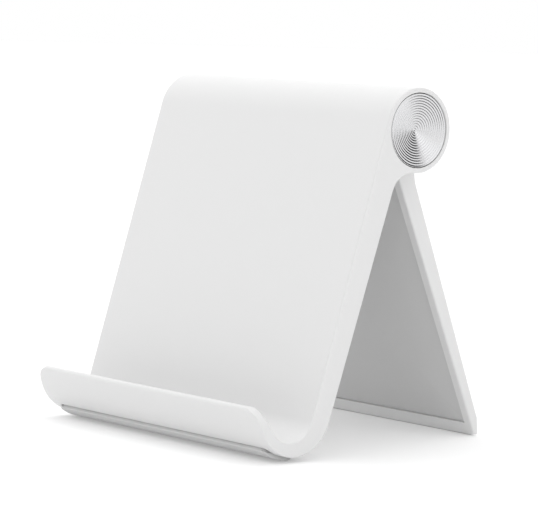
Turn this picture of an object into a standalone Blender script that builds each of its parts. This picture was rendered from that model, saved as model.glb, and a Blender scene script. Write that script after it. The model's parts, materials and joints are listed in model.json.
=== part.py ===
"""Folding phone stand: a hooked front plate, a swing leg and the friction hinge between them.

Metres throughout. +X runs along the hinge to the right-hand end, -Y is the front, +Z is up,
and the origin is the middle of the footprint, on the surface that the stand rests on.

Cross-sections are (y, z) pairs measured from the hinge axis, in each part's upright position:
the plate with its front face vertical, the leg with its rear face vertical. The pivots lean
them to the angles at which the stand is used.
"""

import math

import bmesh
import bpy
from mathutils import Matrix

MM = 0.001

# Stance
PLATE_TILT = math.radians(16.6)      # front face, from vertical
LEG_TILT = math.radians(22.3)        # rear face of the leg, from vertical

# Front plate
WIDTH = 84.9 * MM
BARREL_RADIUS = 10.0 * MM
PLATE_DROP = 71.8 * MM               # hinge axis down to the middle of the trough
BACK_OFFSET = 2.8 * MM               # rear face of the plate, in front of the hinge axis
BACK_TAPER = math.radians(1.5)       # the plate thins towards the hook
NECK_FILLET = 6.0 * MM               # between the barrel and the rear face

# Hook that holds the phone
TROUGH_RADIUS = 6.5 * MM
HOOK_RADIUS = 10.5 * MM
HOOK_WALL = 3.1 * MM                 # under the trough
LIP_OPEN = 51.0                      # degrees between the plate and the lip
LIP_TAPER = 5.0                      # degrees between the lip's two faces
LIP_LENGTH = 6.8 * MM
LIP_CORNER = 4.8 * MM

# Hinge, inside the barrel
CLEARANCE = 0.3 * MM
PAST = 1.0 * MM                      # how far a cut runs past the faces it opens
BORE_RADIUS = 8.4 * MM               # round the leg's knuckle
END_BAY = 13.05 * MM                 # from the barrel's end to the inner face of its web
WEB_THICKNESS = 3.0 * MM
COUNTERBORE_RADIUS = 7.4 * MM
RING_WALL = 1.2 * MM                 # barrel wall round the end disc
DISC_SEAT_DEPTH = 3.2 * MM
HOOD_END = 30.0                      # degrees above horizontal where the hood's wall resumes
SHAFT_RADIUS = 2.0 * MM
BUSH_WALL = 0.8 * MM
FRICTION_THICKNESS = 0.8 * MM
WASHER_RADIUS = 5.5 * MM
KEY_WASHER_THICKNESS = 0.7 * MM
PLAIN_WASHER_RADIUS = 4.5 * MM
PLAIN_WASHER_THICKNESS = 0.6 * MM
SPRING_RADIUS = 4.6 * MM
SPRING_SHEET = 0.35 * MM
SPRING_CONE = 0.3 * MM
NUT_LENGTH = 2.6 * MM
NUT_FLATS = 3.5 * MM                 # from the axis
HEAD_RADIUS = 4.2 * MM
HEAD_LENGTH = 2.6 * MM
DRIVE_SLOT = 1.0 * MM
SHOULDER_GAP = 0.4 * MM              # between the barrel and the top of the leg

# Swing leg
LEG_INSET = 9.2 * MM                 # each side, from the end of the barrel
LEG_REAR = 2.73 * MM                 # rear face, behind the hinge axis
LEG_FRONT = 2.45 * MM                # front face, in front of the hinge axis
LEG_TAPER = math.radians(1.93)
LEG_FLARE = 2.5 * MM                 # hollow round where the rear face meets the barrel
LEG_CHAMFER = 3.9 * MM               # height of the sloped rear edge at the bottom
LEG_EDGE = 1.3 * MM                  # thickness left at the bottom edge
PANEL_RIM = 2.3 * MM
PANEL_RIM_BOTTOM = 3.1 * MM
PANEL_TOP = 13.5 * MM                # below the hinge axis
PANEL_SINK = 0.4 * MM
PANEL_THICKNESS = 0.6 * MM

# Rear cover of the plate
FRONT_WALL = 2.2 * MM
COVER_THICKNESS = 1.5 * MM
COVER_TOP = 17.5 * MM                # below the hinge axis
COVER_BOTTOM = 66.5 * MM
COVER_MARGIN = 3.0 * MM              # from the side faces
COVER_LEDGE = 2.2 * MM
SCREW_INSET = 6.5 * MM               # from the cover's edges
SCREW_RADIUS = 0.8 * MM
SCREW_HEAD = 1.6 * MM
SCREW_LENGTH = 4.6 * MM
BOSS_RADIUS = 2.6 * MM
RIB_THICKNESS = 1.2 * MM

# Soft feet
FOOT_INSET = 2.3 * MM                # from the side faces
FOOT_DROP = 1.2 * MM                 # flat sole below the hook
FOOT_PROUD = 0.75 * MM               # where the foot begins, on the front of the hook
FOOT_FRONT = 36.0                    # degrees ahead of straight down
FOOT_REAR = 6.0 * MM                 # sole behind the hook's centre
FOOT_SEAT = 0.6 * MM                 # groove that it sits in
FOOT_EDGE = 0.6 * MM
LEG_FOOT_PROUD = 0.3 * MM
LEG_FOOT_HEIGHT = 2.8 * MM
LEG_FOOT_THICKNESS = 0.7 * MM
LEG_FOOT_INSET = 2.0 * MM

# End discs
DISC_THICKNESS = 0.8 * MM
DISC_DISH = 1.5 * MM
DISC_SINK = 0.35 * MM
CARRIER_BORE = 5.0 * MM
SKIRT_DEPTH = 1.8 * MM
SKIRT_WALL = 0.8 * MM

SEGMENTS = 64
SMALL_SEGMENTS = 32

HALF = WIDTH / 2
LEG_HALF = HALF - LEG_INSET
WEB_INNER = HALF - END_BAY
WEB_OUTER = WEB_INNER + WEB_THICKNESS
KNUCKLE_RADIUS = BORE_RADIUS - CLEARANCE
KNUCKLE_HALF = WEB_INNER - FRICTION_THICKNESS - 2 * CLEARANCE
BUSH_BORE = SHAFT_RADIUS + CLEARANCE
BUSH_RADIUS = BUSH_BORE + BUSH_WALL
DISC_SEAT_RADIUS = BARREL_RADIUS - RING_WALL
DISC_RADIUS = DISC_SEAT_RADIUS - CLEARANCE


# ---------------------------------------------------------------- outlines

def polar(centre, radius, degrees):
    """The point at that radius and direction from a centre."""
    angle = math.radians(degrees)
    return (centre[0] + radius * math.cos(angle), centre[1] + radius * math.sin(angle))


def arc(centre, radius, start, end, steps):
    """Points along an arc, both ends included, angles in degrees."""
    return [polar(centre, radius, start + (end - start) * i / steps) for i in range(steps + 1)]


def on_back(offset, down):
    """A point given along and across the plate's rear face: behind the axis, and below it."""
    sine, cosine = math.sin(BACK_TAPER), math.cos(BACK_TAPER)
    return (offset * cosine - down * sine, -offset * sine - down * cosine)


def lean(point, angle):
    """Turn a point about the hinge axis, positive towards +Z from +Y."""
    sine, cosine = math.sin(angle), math.cos(angle)
    return (point[0] * cosine - point[1] * sine, point[0] * sine + point[1] * cosine)


TROUGH_CENTRE = (-BARREL_RADIUS - TROUGH_RADIUS, -PLATE_DROP)
HOOK_DROP = PLATE_DROP + TROUGH_RADIUS + HOOK_WALL - HOOK_RADIUS
HOOK_CENTRE = (
    (-BACK_OFFSET - HOOK_RADIUS - HOOK_DROP * math.sin(BACK_TAPER)) / math.cos(BACK_TAPER),
    -HOOK_DROP,
)


def lip_ends():
    """Where the lip's inner and outer faces stop, either side of its rounded tip."""
    inner_start = polar(TROUGH_CENTRE, TROUGH_RADIUS, LIP_OPEN - 180)
    inner_end = polar(inner_start, LIP_LENGTH, LIP_OPEN + 90)
    outer_angle = LIP_OPEN - LIP_TAPER
    outer_start = polar(HOOK_CENTRE, HOOK_RADIUS, outer_angle - 180)
    along = polar((0, 0), 1, outer_angle + 90)
    reach = sum((inner_end[i] - outer_start[i]) * along[i] for i in range(2))
    return inner_end, polar(outer_start, reach, outer_angle + 90)


def plate_outline():
    """Side view of the front plate: barrel, plate, trough, lip and hook, anticlockwise."""
    inner_end, outer_end = lip_ends()
    tip_centre = tuple((inner_end[i] + outer_end[i]) / 2 for i in range(2))
    tip_radius = math.dist(inner_end, outer_end) / 2
    tip_start = math.degrees(math.atan2(inner_end[1] - tip_centre[1], inner_end[0] - tip_centre[0]))
    fillet_down = math.sqrt((BARREL_RADIUS + NECK_FILLET) ** 2 - (NECK_FILLET - BACK_OFFSET) ** 2)
    fillet_centre = on_back(NECK_FILLET - BACK_OFFSET, fillet_down)
    towards_barrel = math.degrees(math.atan2(fillet_centre[1], fillet_centre[0]))
    taper = math.degrees(BACK_TAPER)
    return (
        arc(TROUGH_CENTRE, TROUGH_RADIUS, 0, LIP_OPEN - 180, 18)
        + arc(tip_centre, tip_radius, tip_start, tip_start + 180, 6)
        + arc(HOOK_CENTRE, HOOK_RADIUS, LIP_OPEN - LIP_TAPER - 180, -taper, 24)
        + arc(fillet_centre, NECK_FILLET, 180 - taper, towards_barrel + 180, 8)
        + arc((0, 0), BARREL_RADIUS, towards_barrel, 180, 46)[1:]
    )


def leaned_low(centre, radius, tilt):
    """Height, from the hinge axis, of the underside of a round form once it is leaned."""
    return lean(centre, tilt)[1] - radius


AXIS_HEIGHT = FOOT_DROP - leaned_low(HOOK_CENTRE, HOOK_RADIUS, -PLATE_TILT)


def leg_front(down):
    """The leg's front face at a distance below the hinge axis."""
    return (-LEG_FRONT + down * math.sin(LEG_TAPER)) / math.cos(LEG_TAPER)


def leg_bottom(clear):
    """Front and rear corners of the leg's bottom edge, that far above the resting surface."""
    height = AXIS_HEIGHT - clear
    slope = math.tan(LEG_TAPER)
    start = leg_front(0)
    down = (height + start * math.sin(LEG_TILT)) / (math.cos(LEG_TILT) - slope * math.sin(LEG_TILT))
    front = (leg_front(down), -down)
    back = (front[0] + LEG_EDGE * math.cos(LEG_TILT), front[1] - LEG_EDGE * math.sin(LEG_TILT))
    return front, back


def leg_outline():
    """Side view of the leg and its knuckle, anticlockwise from the bottom's front corner.

    Beside the knuckle the rear face flares out round the barrel; the neck itself is plain.
    """
    front, back = leg_bottom(LEG_FOOT_PROUD)
    neck_front = (leg_front(KNUCKLE_RADIUS), -math.sqrt(KNUCKLE_RADIUS ** 2 - LEG_FRONT ** 2))
    rear_angle = -math.degrees(math.acos(LEG_REAR / KNUCKLE_RADIUS))
    front_angle = math.degrees(math.atan2(neck_front[1], neck_front[0])) + 360
    flare_reach = BARREL_RADIUS + SHOULDER_GAP + LEG_FLARE
    flare_centre = (LEG_REAR + LEG_FLARE, -math.sqrt(flare_reach ** 2 - (LEG_REAR + LEG_FLARE) ** 2))
    towards_hinge = math.degrees(math.atan2(-flare_centre[1], -flare_centre[0]))
    meet = polar(flare_centre, LEG_FLARE, towards_hinge)
    return (
        [front, back, (LEG_REAR, back[1] + LEG_CHAMFER)]
        + arc(flare_centre, LEG_FLARE, 180, towards_hinge, 5)
        + [(LEG_REAR, meet[1])]
        + arc((0, 0), KNUCKLE_RADIUS, rear_angle, front_angle, 52)
    )


def rest_middle():
    """Middle of the footprint along Y, from the hinge axis, in the resting position."""
    front_end = min(lean(point, -PLATE_TILT)[0] for point in plate_outline())
    leg_end = max(lean(point, LEG_TILT)[0] for point in leg_outline() + leg_foot_outline())
    return (front_end + leg_end) / 2


# ---------------------------------------------------------------- mesh helpers

def add_prism(bm, outline, x_start, x_end):
    """Extrude a side-view outline along X."""
    ring = [bm.verts.new((x_start, y, z)) for y, z in outline]
    face = bm.faces.new(ring)
    grown = bmesh.ops.extrude_face_region(bm, geom=[face])["geom"]
    corners = [item for item in grown if isinstance(item, bmesh.types.BMVert)]
    bmesh.ops.translate(bm, verts=corners, vec=(x_end - x_start, 0, 0))
    bmesh.ops.recalc_face_normals(bm, faces=bm.faces)


def add_turned(bm, profile, segments, matrix=Matrix()):
    """Spin a closed (x, radius) profile round the X axis."""
    ring = [bm.verts.new((x, 0, radius)) for x, radius in profile]
    edges = [bm.edges.new((ring[i - 1], ring[i])) for i in range(len(ring))]
    bmesh.ops.spin(
        bm, geom=ring + edges, cent=(0, 0, 0), axis=(1, 0, 0), angle=2 * math.pi,
        steps=segments, use_merge=True,
    )
    made = [vert for vert in bm.verts if not vert.tag]
    bmesh.ops.remove_doubles(bm, verts=made, dist=1e-6)
    made = [vert for vert in bm.verts if not vert.tag]
    bmesh.ops.transform(bm, matrix=matrix, verts=made)
    for vert in bm.verts:
        vert.tag = True
    loose = [edge for edge in bm.edges if not edge.link_faces]
    bmesh.ops.delete(bm, geom=loose, context="EDGES")
    bmesh.ops.recalc_face_normals(bm, faces=bm.faces)


def make_object(name, bm, material, pivot):
    """Turn a mesh under construction into a named piece on its pivot."""
    mesh = bpy.data.meshes.new(name)
    bm.to_mesh(mesh)
    bm.free()
    mesh.shade_smooth()
    mesh.set_sharp_from_angle(angle=math.radians(30))
    if material:
        mesh.materials.append(material)
    piece = bpy.data.objects.new(name, mesh)
    bpy.context.scene.collection.objects.link(piece)
    piece.parent = pivot
    return piece


def prism(name, outline, x_start, x_end, material, pivot):
    bm = bmesh.new()
    add_prism(bm, outline, x_start, x_end)
    return make_object(name, bm, material, pivot)


def turned(name, profile, material, pivot, segments=SEGMENTS):
    bm = bmesh.new()
    add_turned(bm, profile, segments)
    return make_object(name, bm, material, pivot)


def tube(x_start, x_end, bore, radius):
    """Profile of a plain ring or tube."""
    return [(x_start, bore), (x_end, bore), (x_end, radius), (x_start, radius)]


def combine(target, tool, operation="DIFFERENCE"):
    """Cut or join a piece with a hidden tool shape."""
    modifier = target.modifiers.new(tool.name, "BOOLEAN")
    modifier.operation = operation
    modifier.solver = "EXACT"
    modifier.object = tool
    tool.hide_render = True
    tool.display_type = "WIRE"


def make_material(name, colour, roughness, metallic=0.0):
    material = bpy.data.materials.new(name)
    material.use_nodes = True
    surface = material.node_tree.nodes["Principled BSDF"]
    surface.inputs["Base Color"].default_value = (*colour, 1.0)
    surface.inputs["Roughness"].default_value = roughness
    surface.inputs["Metallic"].default_value = metallic
    return material


def make_pivot(name, location, angle, parent=None):
    pivot = bpy.data.objects.new(name, None)
    bpy.context.scene.collection.objects.link(pivot)
    pivot.parent = parent
    pivot.location = location
    pivot.rotation_euler = (angle, 0, 0)
    return pivot


# ---------------------------------------------------------------- front plate

def barrel_bore():
    """Everything turned out of the barrel, from end to end, as one profile."""
    seat = HALF - DISC_SEAT_DEPTH
    right = [
        (WEB_INNER, BORE_RADIUS),
        (WEB_INNER, BUSH_RADIUS + CLEARANCE),
        (WEB_OUTER, BUSH_RADIUS + CLEARANCE),
        (WEB_OUTER, COUNTERBORE_RADIUS),
        (seat, COUNTERBORE_RADIUS),
        (seat, DISC_SEAT_RADIUS),
        (HALF + PAST, DISC_SEAT_RADIUS),
        (HALF + PAST, 0),
    ]
    return [(-x, radius) for x, radius in reversed(right)] + right


def cover_outline(depth_start, depth_end, margin):
    """A band under the plate's rear face, inside the cover's edges by a margin."""
    top = COVER_TOP + margin
    bottom = COVER_BOTTOM - margin
    return [
        on_back(-BACK_OFFSET - depth_start, top),
        on_back(-BACK_OFFSET - depth_end, top),
        on_back(-BACK_OFFSET - depth_end, bottom),
        on_back(-BACK_OFFSET - depth_start, bottom),
    ]


def screw_places():
    """Matrices that stand a turned profile on the rear face, its +X pointing out of it."""
    across = HALF - COVER_MARGIN - SCREW_INSET
    for x in (-across, across):
        for down in (COVER_TOP + SCREW_INSET, COVER_BOTTOM - SCREW_INSET):
            y, z = on_back(-BACK_OFFSET, down)
            yield (
                Matrix.Translation((x, y, z))
                @ Matrix.Rotation(-BACK_TAPER, 4, "X")
                @ Matrix.Rotation(math.pi / 2, 4, "Z")
            )


def build_front_plate(plastic, pivot):
    shell = prism("front_shell", plate_outline(), -HALF, HALF, plastic, pivot)
    combine(shell, turned("barrel_tool", barrel_bore(), None, pivot))

    reach = 3 * BARREL_RADIUS
    window = [
        (0, 0),
        on_back(-BACK_OFFSET, BARREL_RADIUS / 2),
        on_back(-BACK_OFFSET, BARREL_RADIUS + NECK_FILLET),
        on_back(reach, BARREL_RADIUS + NECK_FILLET),
        polar((0, 0), reach, HOOD_END),
    ]
    combine(shell, prism("window_tool", window, -WEB_INNER, WEB_INNER, None, pivot))

    relief_radius = BARREL_RADIUS - SHOULDER_GAP / 2
    relief_start = -math.degrees(math.acos(-BACK_OFFSET / relief_radius))
    relief = [
        on_back(-BACK_OFFSET, BARREL_RADIUS + NECK_FILLET),
        on_back(BARREL_RADIUS, BARREL_RADIUS + NECK_FILLET),
        on_back(BARREL_RADIUS, BARREL_RADIUS / 2),
    ] + arc((0, 0), relief_radius, -25, relief_start - math.degrees(BACK_TAPER), 16)
    swing_half = LEG_HALF + CLEARANCE
    combine(shell, prism("relief_tool", relief, -swing_half, swing_half, None, pivot))

    cut_hollow(shell, pivot)
    round_lip_corners(shell, pivot)
    return shell


def cut_hollow(shell, pivot):
    """The rear cover's seat, the hollow under it, and the bosses and ribs in that hollow."""
    seat_depth = COVER_THICKNESS + CLEARANCE
    seat_half = HALF - COVER_MARGIN
    seat = cover_outline(-PAST, seat_depth, 0)
    combine(shell, prism("cover_seat_tool", seat, -seat_half, seat_half, None, pivot))
    floor_y = -BARREL_RADIUS + FRONT_WALL
    hollow_half = seat_half - COVER_LEDGE
    hollow = hollow_band(seat_depth / 2, floor_y, COVER_LEDGE)
    combine(shell, prism("hollow_tool", hollow, -hollow_half, hollow_half, None, pivot))

    posts = bmesh.new()
    root = -floor_depth() - FRONT_WALL / 2
    post = [(root, 0), (-seat_depth, 0), (-seat_depth, BOSS_RADIUS), (root, BOSS_RADIUS)]
    for place in screw_places():
        add_turned(posts, post, SMALL_SEGMENTS, place)
    combine(shell, make_object("boss_tool", posts, None, pivot), "UNION")

    ribs = bmesh.new()
    rib = hollow_band(seat_depth, floor_y - FRONT_WALL / 2, COVER_LEDGE / 2)
    for x in (-hollow_half / 3, hollow_half / 3):
        add_prism(ribs, rib, x - RIB_THICKNESS / 2, x + RIB_THICKNESS / 2)
    combine(shell, make_object("rib_tool", ribs, None, pivot), "UNION")

    holes = bmesh.new()
    depth = -SCREW_LENGTH - CLEARANCE
    hole_radius = SCREW_RADIUS + CLEARANCE
    hole = [(depth, 0), (PAST, 0), (PAST, hole_radius), (depth, hole_radius)]
    for place in screw_places():
        add_turned(holes, hole, SMALL_SEGMENTS, place)
    combine(shell, make_object("screw_hole_tool", holes, None, pivot))


def hollow_band(depth, floor_y, margin):
    """Side view of the hollow: from a depth under the rear face to the back of the front wall."""
    top = on_back(-BACK_OFFSET - depth, COVER_TOP + margin)
    bottom = on_back(-BACK_OFFSET - depth, COVER_BOTTOM - margin)
    return [top, (floor_y, top[1]), (floor_y, bottom[1]), bottom]


def round_lip_corners(shell, pivot):
    """Take the square top corners off the lip, through its whole thickness."""
    inner_end, outer_end = lip_ends()
    thickness = math.dist(inner_end, outer_end)
    along = polar((0, 0), 1, LIP_OPEN + 90)
    across = polar((0, 0), 1, LIP_OPEN)
    past = LIP_CORNER + PAST
    start = -PAST / 2
    outline = arc((0, 0), LIP_CORNER, 0, 90, 8) + [(start, past), (past, past), (past, start)]
    corners = bmesh.new()
    for side in (-1, 1):
        rings = []
        for depth in (-2 * thickness, 2 * thickness):
            ring = []
            for out, up in outline:
                rise = up - LIP_CORNER + thickness / 2
                y, z = (inner_end[i] + along[i] * rise + across[i] * depth for i in range(2))
                ring.append(corners.verts.new((side * (HALF - LIP_CORNER + out), y, z)))
            corners.faces.new(ring)
            rings.append(ring)
        low, high = rings
        for i in range(len(outline)):
            corners.faces.new((low[i - 1], low[i], high[i], high[i - 1]))
    bmesh.ops.recalc_face_normals(corners, faces=corners.faces)
    combine(shell, make_object("lip_corner_tool", corners, None, pivot))


def floor_depth():
    """Depth of the hollow's floor under the rear face, at the lower screws."""
    down = COVER_BOTTOM - SCREW_INSET
    return BARREL_RADIUS - FRONT_WALL + on_back(-BACK_OFFSET, down)[0]


def build_cover(plastic, steel, pivot):
    half = HALF - COVER_MARGIN - CLEARANCE
    outline = cover_outline(0, COVER_THICKNESS, CLEARANCE)
    cover = prism("back_cover", outline, -half, half, plastic, pivot)
    hole_radius = SCREW_RADIUS + CLEARANCE
    head_radius = SCREW_HEAD + CLEARANCE
    sink = SCREW_HEAD - SCREW_RADIUS
    through = -COVER_THICKNESS - PAST
    holes = bmesh.new()
    top = -CLEARANCE / 2
    screw = [
        (-SCREW_LENGTH, 0), (top, 0), (top, SCREW_HEAD),
        (top - CLEARANCE / 2, SCREW_HEAD), (top - CLEARANCE / 2 - sink, SCREW_RADIUS),
        (-SCREW_LENGTH, SCREW_RADIUS),
    ]
    hole = [
        (through, 0), (PAST, 0), (PAST, head_radius), (-2 * CLEARANCE, head_radius),
        (-2 * CLEARANCE - sink, hole_radius), (through, hole_radius),
    ]
    for number, place in enumerate(screw_places(), 1):
        add_turned(holes, hole, SMALL_SEGMENTS, place)
        body = bmesh.new()
        add_turned(body, screw, SMALL_SEGMENTS, place)
        make_object(f"cover_screw_{number}", body, steel, pivot)
    combine(cover, make_object("cover_hole_tool", holes, None, pivot))


# ---------------------------------------------------------------- soft feet

def front_foot_outline(gap, groove):
    """Foot round the underside of the hook, in the resting position; or its groove's outline."""
    centre = lean(HOOK_CENTRE, -PLATE_TILT)
    start = -90 - FOOT_FRONT
    rear_angle = -math.degrees(math.acos(FOOT_REAR / HOOK_RADIUS))
    seat = HOOK_RADIUS - FOOT_SEAT + (0 if groove else gap)
    spread = math.degrees(gap / HOOK_RADIUS) if groove else 0
    inner = arc(centre, seat, rear_angle + spread, start - spread, 20)
    if groove:
        return inner + arc(centre, HOOK_RADIUS + FOOT_DROP + PAST, start - spread, rear_angle + spread, 20)
    shares = [i / 10 for i in range(11)]
    front = [
        polar(centre, HOOK_RADIUS + FOOT_PROUD + (FOOT_DROP - FOOT_PROUD) * share, start + FOOT_FRONT * share)
        for share in shares
    ]
    rear_y = centre[0] + FOOT_REAR
    return inner + front + [(rear_y - FOOT_EDGE, -AXIS_HEIGHT), (rear_y, -AXIS_HEIGHT + FOOT_EDGE)]


def build_front_foot(silicone, centre_pivot, shell):
    half = HALF - FOOT_INSET
    prism("front_foot_strip", front_foot_outline(CLEARANCE, False), -half, half, silicone, centre_pivot)
    groove = front_foot_outline(CLEARANCE, True)
    half += CLEARANCE
    combine(shell, prism("foot_groove_tool", groove, -half, half, None, centre_pivot))


def leg_foot_outline(grow=0.0):
    """Strip let into the sloped rear edge of the leg; grow makes the pocket for it."""
    top_rear = (LEG_REAR, leg_bottom(LEG_FOOT_PROUD)[1][1] + LEG_CHAMFER)
    low = leg_bottom(LEG_FOOT_PROUD)[1]
    length = math.dist(low, top_rear)
    along = tuple((top_rear[i] - low[i]) / length for i in range(2))
    outward = (along[1], -along[0])

    def place(up, out):
        return tuple(low[i] + along[i] * up + outward[i] * out for i in range(2))

    if grow:
        return [place(-2 * PAST, -LEG_FOOT_THICKNESS - grow), place(-2 * PAST, PAST),
                place(LEG_FOOT_HEIGHT + grow, PAST),
                place(LEG_FOOT_HEIGHT + grow, -LEG_FOOT_THICKNESS - grow)]
    inner_low = place(0, -LEG_FOOT_THICKNESS)
    return [floor_under(inner_low), floor_under(place(0, LEG_FOOT_PROUD / 2)),
            place(LEG_FOOT_HEIGHT, LEG_FOOT_PROUD / 2), place(LEG_FOOT_HEIGHT, -LEG_FOOT_THICKNESS)]


def floor_under(point):
    """Drop a point of the upright leg straight down onto the surface, as the leg stands at rest."""
    resting = lean(point, LEG_TILT)
    return lean((resting[0], -AXIS_HEIGHT), -LEG_TILT)


# ---------------------------------------------------------------- swing leg

def panel_band(depth_start, depth_end, shrink):
    """A band under the leg's front face, inside the panel recess by a margin."""
    normal = (math.cos(LEG_TAPER), math.sin(LEG_TAPER))
    down_axis = (math.sin(LEG_TAPER), -math.cos(LEG_TAPER))
    bottom = leg_bottom(LEG_FOOT_PROUD)[0]
    length = -bottom[1] / math.cos(LEG_TAPER) - PANEL_RIM_BOTTOM

    def place(down, depth):
        offset = -LEG_FRONT + depth
        return tuple(down_axis[i] * down + normal[i] * offset for i in range(2))

    top = PANEL_TOP + shrink
    end = length - shrink
    return [place(top, depth_start), place(end, depth_start), place(end, depth_end), place(top, depth_end)]


def build_leg(plastic, panel_plastic, silicone, steel, pivot):
    leg = prism("leg_shell", leg_outline(), -LEG_HALF, LEG_HALF, plastic, pivot)
    for side, name in ((-1, "left"), (1, "right")):
        ends = sorted((side * KNUCKLE_HALF, side * (LEG_HALF + PAST)))
        shoulder = [(ends[0], 0), (ends[1], 0), (ends[1], BARREL_RADIUS + SHOULDER_GAP),
                    (ends[0], BARREL_RADIUS + SHOULDER_GAP)]
        combine(leg, turned("shoulder_tool_" + name, shoulder, None, pivot))
    sleeve_outer = BUSH_RADIUS + 2 * CLEARANCE
    bore = [(-LEG_HALF, 0), (LEG_HALF, 0), (LEG_HALF, sleeve_outer + CLEARANCE),
            (-LEG_HALF, sleeve_outer + CLEARANCE)]
    combine(leg, turned("knuckle_bore_tool", bore, None, pivot, SMALL_SEGMENTS))
    recess_half = LEG_HALF - PANEL_RIM
    depth = PANEL_SINK + PANEL_THICKNESS + CLEARANCE
    recess = panel_band(-PAST, depth, 0)
    combine(leg, prism("recess_tool", recess, -recess_half, recess_half, None, pivot))
    half = recess_half - CLEARANCE
    panel = panel_band(PANEL_SINK, PANEL_SINK + PANEL_THICKNESS, CLEARANCE)
    prism("leg_panel", panel, -half, half, panel_plastic, pivot)
    strip_half = LEG_HALF - LEG_FOOT_INSET
    pocket = leg_foot_outline(CLEARANCE)
    pocket_half = strip_half + CLEARANCE
    combine(leg, prism("leg_foot_tool", pocket, -pocket_half, pocket_half, None, pivot))
    prism("leg_foot_strip", leg_foot_outline(), -strip_half, strip_half, silicone, pivot)
    sleeve = tube(-KNUCKLE_HALF, KNUCKLE_HALF, BUSH_BORE, sleeve_outer)
    turned("knuckle_sleeve", sleeve, steel, pivot, SMALL_SEGMENTS)


# ---------------------------------------------------------------- hinge hardware

def hexagon(flats):
    return [polar((0, 0), flats / math.cos(math.pi / 6), 60 * i) for i in range(6)]


def stack(start, length):
    """The next slot along the shaft: where it begins, where it ends, and where the one after starts."""
    return start, start + length, start + length + CLEARANCE


def build_hinge(metals, plastic, pivot):
    steel, brass, aluminium = metals
    low, high, at = stack(WEB_OUTER + CLEARANCE, KEY_WASHER_THICKNESS)
    turned("key_washer", tube(low, high, BUSH_BORE, WASHER_RADIUS), brass, pivot, SMALL_SEGMENTS)
    for name in ("inner", "outer"):
        low, high, at = stack(at, SPRING_SHEET + SPRING_CONE)
        profile = [(low, BUSH_BORE), (low + SPRING_SHEET, BUSH_BORE), (high, SPRING_RADIUS),
                   (high - SPRING_SHEET, SPRING_RADIUS)]
        if name == "outer":
            profile = [(low + high - x, radius) for x, radius in profile]
        turned("spring_washer_" + name, profile, steel, pivot, SMALL_SEGMENTS)
    low, high, at = stack(at, PLAIN_WASHER_THICKNESS)
    turned("plain_washer", tube(low, high, BUSH_BORE, PLAIN_WASHER_RADIUS), steel, pivot, SMALL_SEGMENTS)
    low, high, shaft_end = stack(at, NUT_LENGTH)
    nut = prism("lock_nut", hexagon(NUT_FLATS), low, high, steel, pivot)
    thread = [(low - PAST, 0), (high + PAST, 0), (high + PAST, BUSH_BORE), (low - PAST, BUSH_BORE)]
    combine(nut, turned("nut_bore_tool", thread, None, pivot, SMALL_SEGMENTS))

    high, low, at = stack(WEB_OUTER + CLEARANCE, PLAIN_WASHER_THICKNESS)
    turned("head_washer", tube(-low, -high, BUSH_BORE, WASHER_RADIUS), steel, pivot, SMALL_SEGMENTS)
    head, head_end = -at, -at - HEAD_LENGTH
    shaft = [(head_end, 0), (shaft_end, 0), (shaft_end, SHAFT_RADIUS), (head, SHAFT_RADIUS),
             (head, HEAD_RADIUS), (head_end, HEAD_RADIUS)]
    shaft_piece = turned("hinge_shaft", shaft, steel, pivot, SMALL_SEGMENTS)
    slot_half, slot_reach = DRIVE_SLOT / 2, HEAD_RADIUS + PAST
    slot = [(-slot_half, -slot_reach), (slot_half, -slot_reach),
            (slot_half, slot_reach), (-slot_half, slot_reach)]
    slot_tool = prism("slot_tool", slot, head_end - PAST, head_end + HEAD_LENGTH / 2, None, pivot)
    combine(shaft_piece, slot_tool)

    friction_bore = BUSH_RADIUS + CLEARANCE
    for side, name in ((-1, "left"), (1, "right")):
        bush = sorted((side * WEB_INNER, side * WEB_OUTER))
        turned("bush_" + name, tube(*bush, BUSH_BORE, BUSH_RADIUS), brass, pivot, SMALL_SEGMENTS)
        inner = KNUCKLE_HALF + CLEARANCE
        disc = sorted((side * inner, side * (inner + FRICTION_THICKNESS)))
        friction = tube(*disc, friction_bore, KNUCKLE_RADIUS - CLEARANCE)
        turned("friction_disc_" + name, friction, plastic, pivot)
        build_end(side, name, aluminium, plastic, pivot)


def dish(radius):
    """Depth of the end disc's dished face, shallow at the rim and deepest in the middle."""
    return DISC_DISH * (1 - (radius / DISC_RADIUS) ** 2)


def build_end(side, name, aluminium, plastic, pivot):
    """Dished end disc and the plug that carries it, mirrored for the left-hand end."""
    face = HALF - DISC_SINK
    radii = [DISC_RADIUS * i / 8 for i in range(9)]
    front = [(face - dish(radius), radius) for radius in radii]
    back = [(face - dish(radius) - DISC_THICKNESS, radius) for radius in reversed(radii)]
    disc = [(side * x, radius) for x, radius in front + back]
    turned("end_disc_" + name, disc, aluminium, pivot)
    seat = HALF - DISC_SEAT_DEPTH + CLEARANCE
    under = [CARRIER_BORE + (DISC_RADIUS - CARRIER_BORE) * i / 4 for i in range(5)]
    skirt = COUNTERBORE_RADIUS - CLEARANCE
    carrier = [(face - dish(radius) - DISC_THICKNESS - CLEARANCE, radius) for radius in under]
    carrier += [(seat, DISC_RADIUS), (seat, skirt), (seat - SKIRT_DEPTH, skirt),
                (seat - SKIRT_DEPTH, skirt - SKIRT_WALL), (seat, skirt - SKIRT_WALL), (seat, CARRIER_BORE)]
    turned("disc_carrier_" + name, [(side * x, radius) for x, radius in carrier], plastic, pivot)


# ---------------------------------------------------------------- assembly

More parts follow.
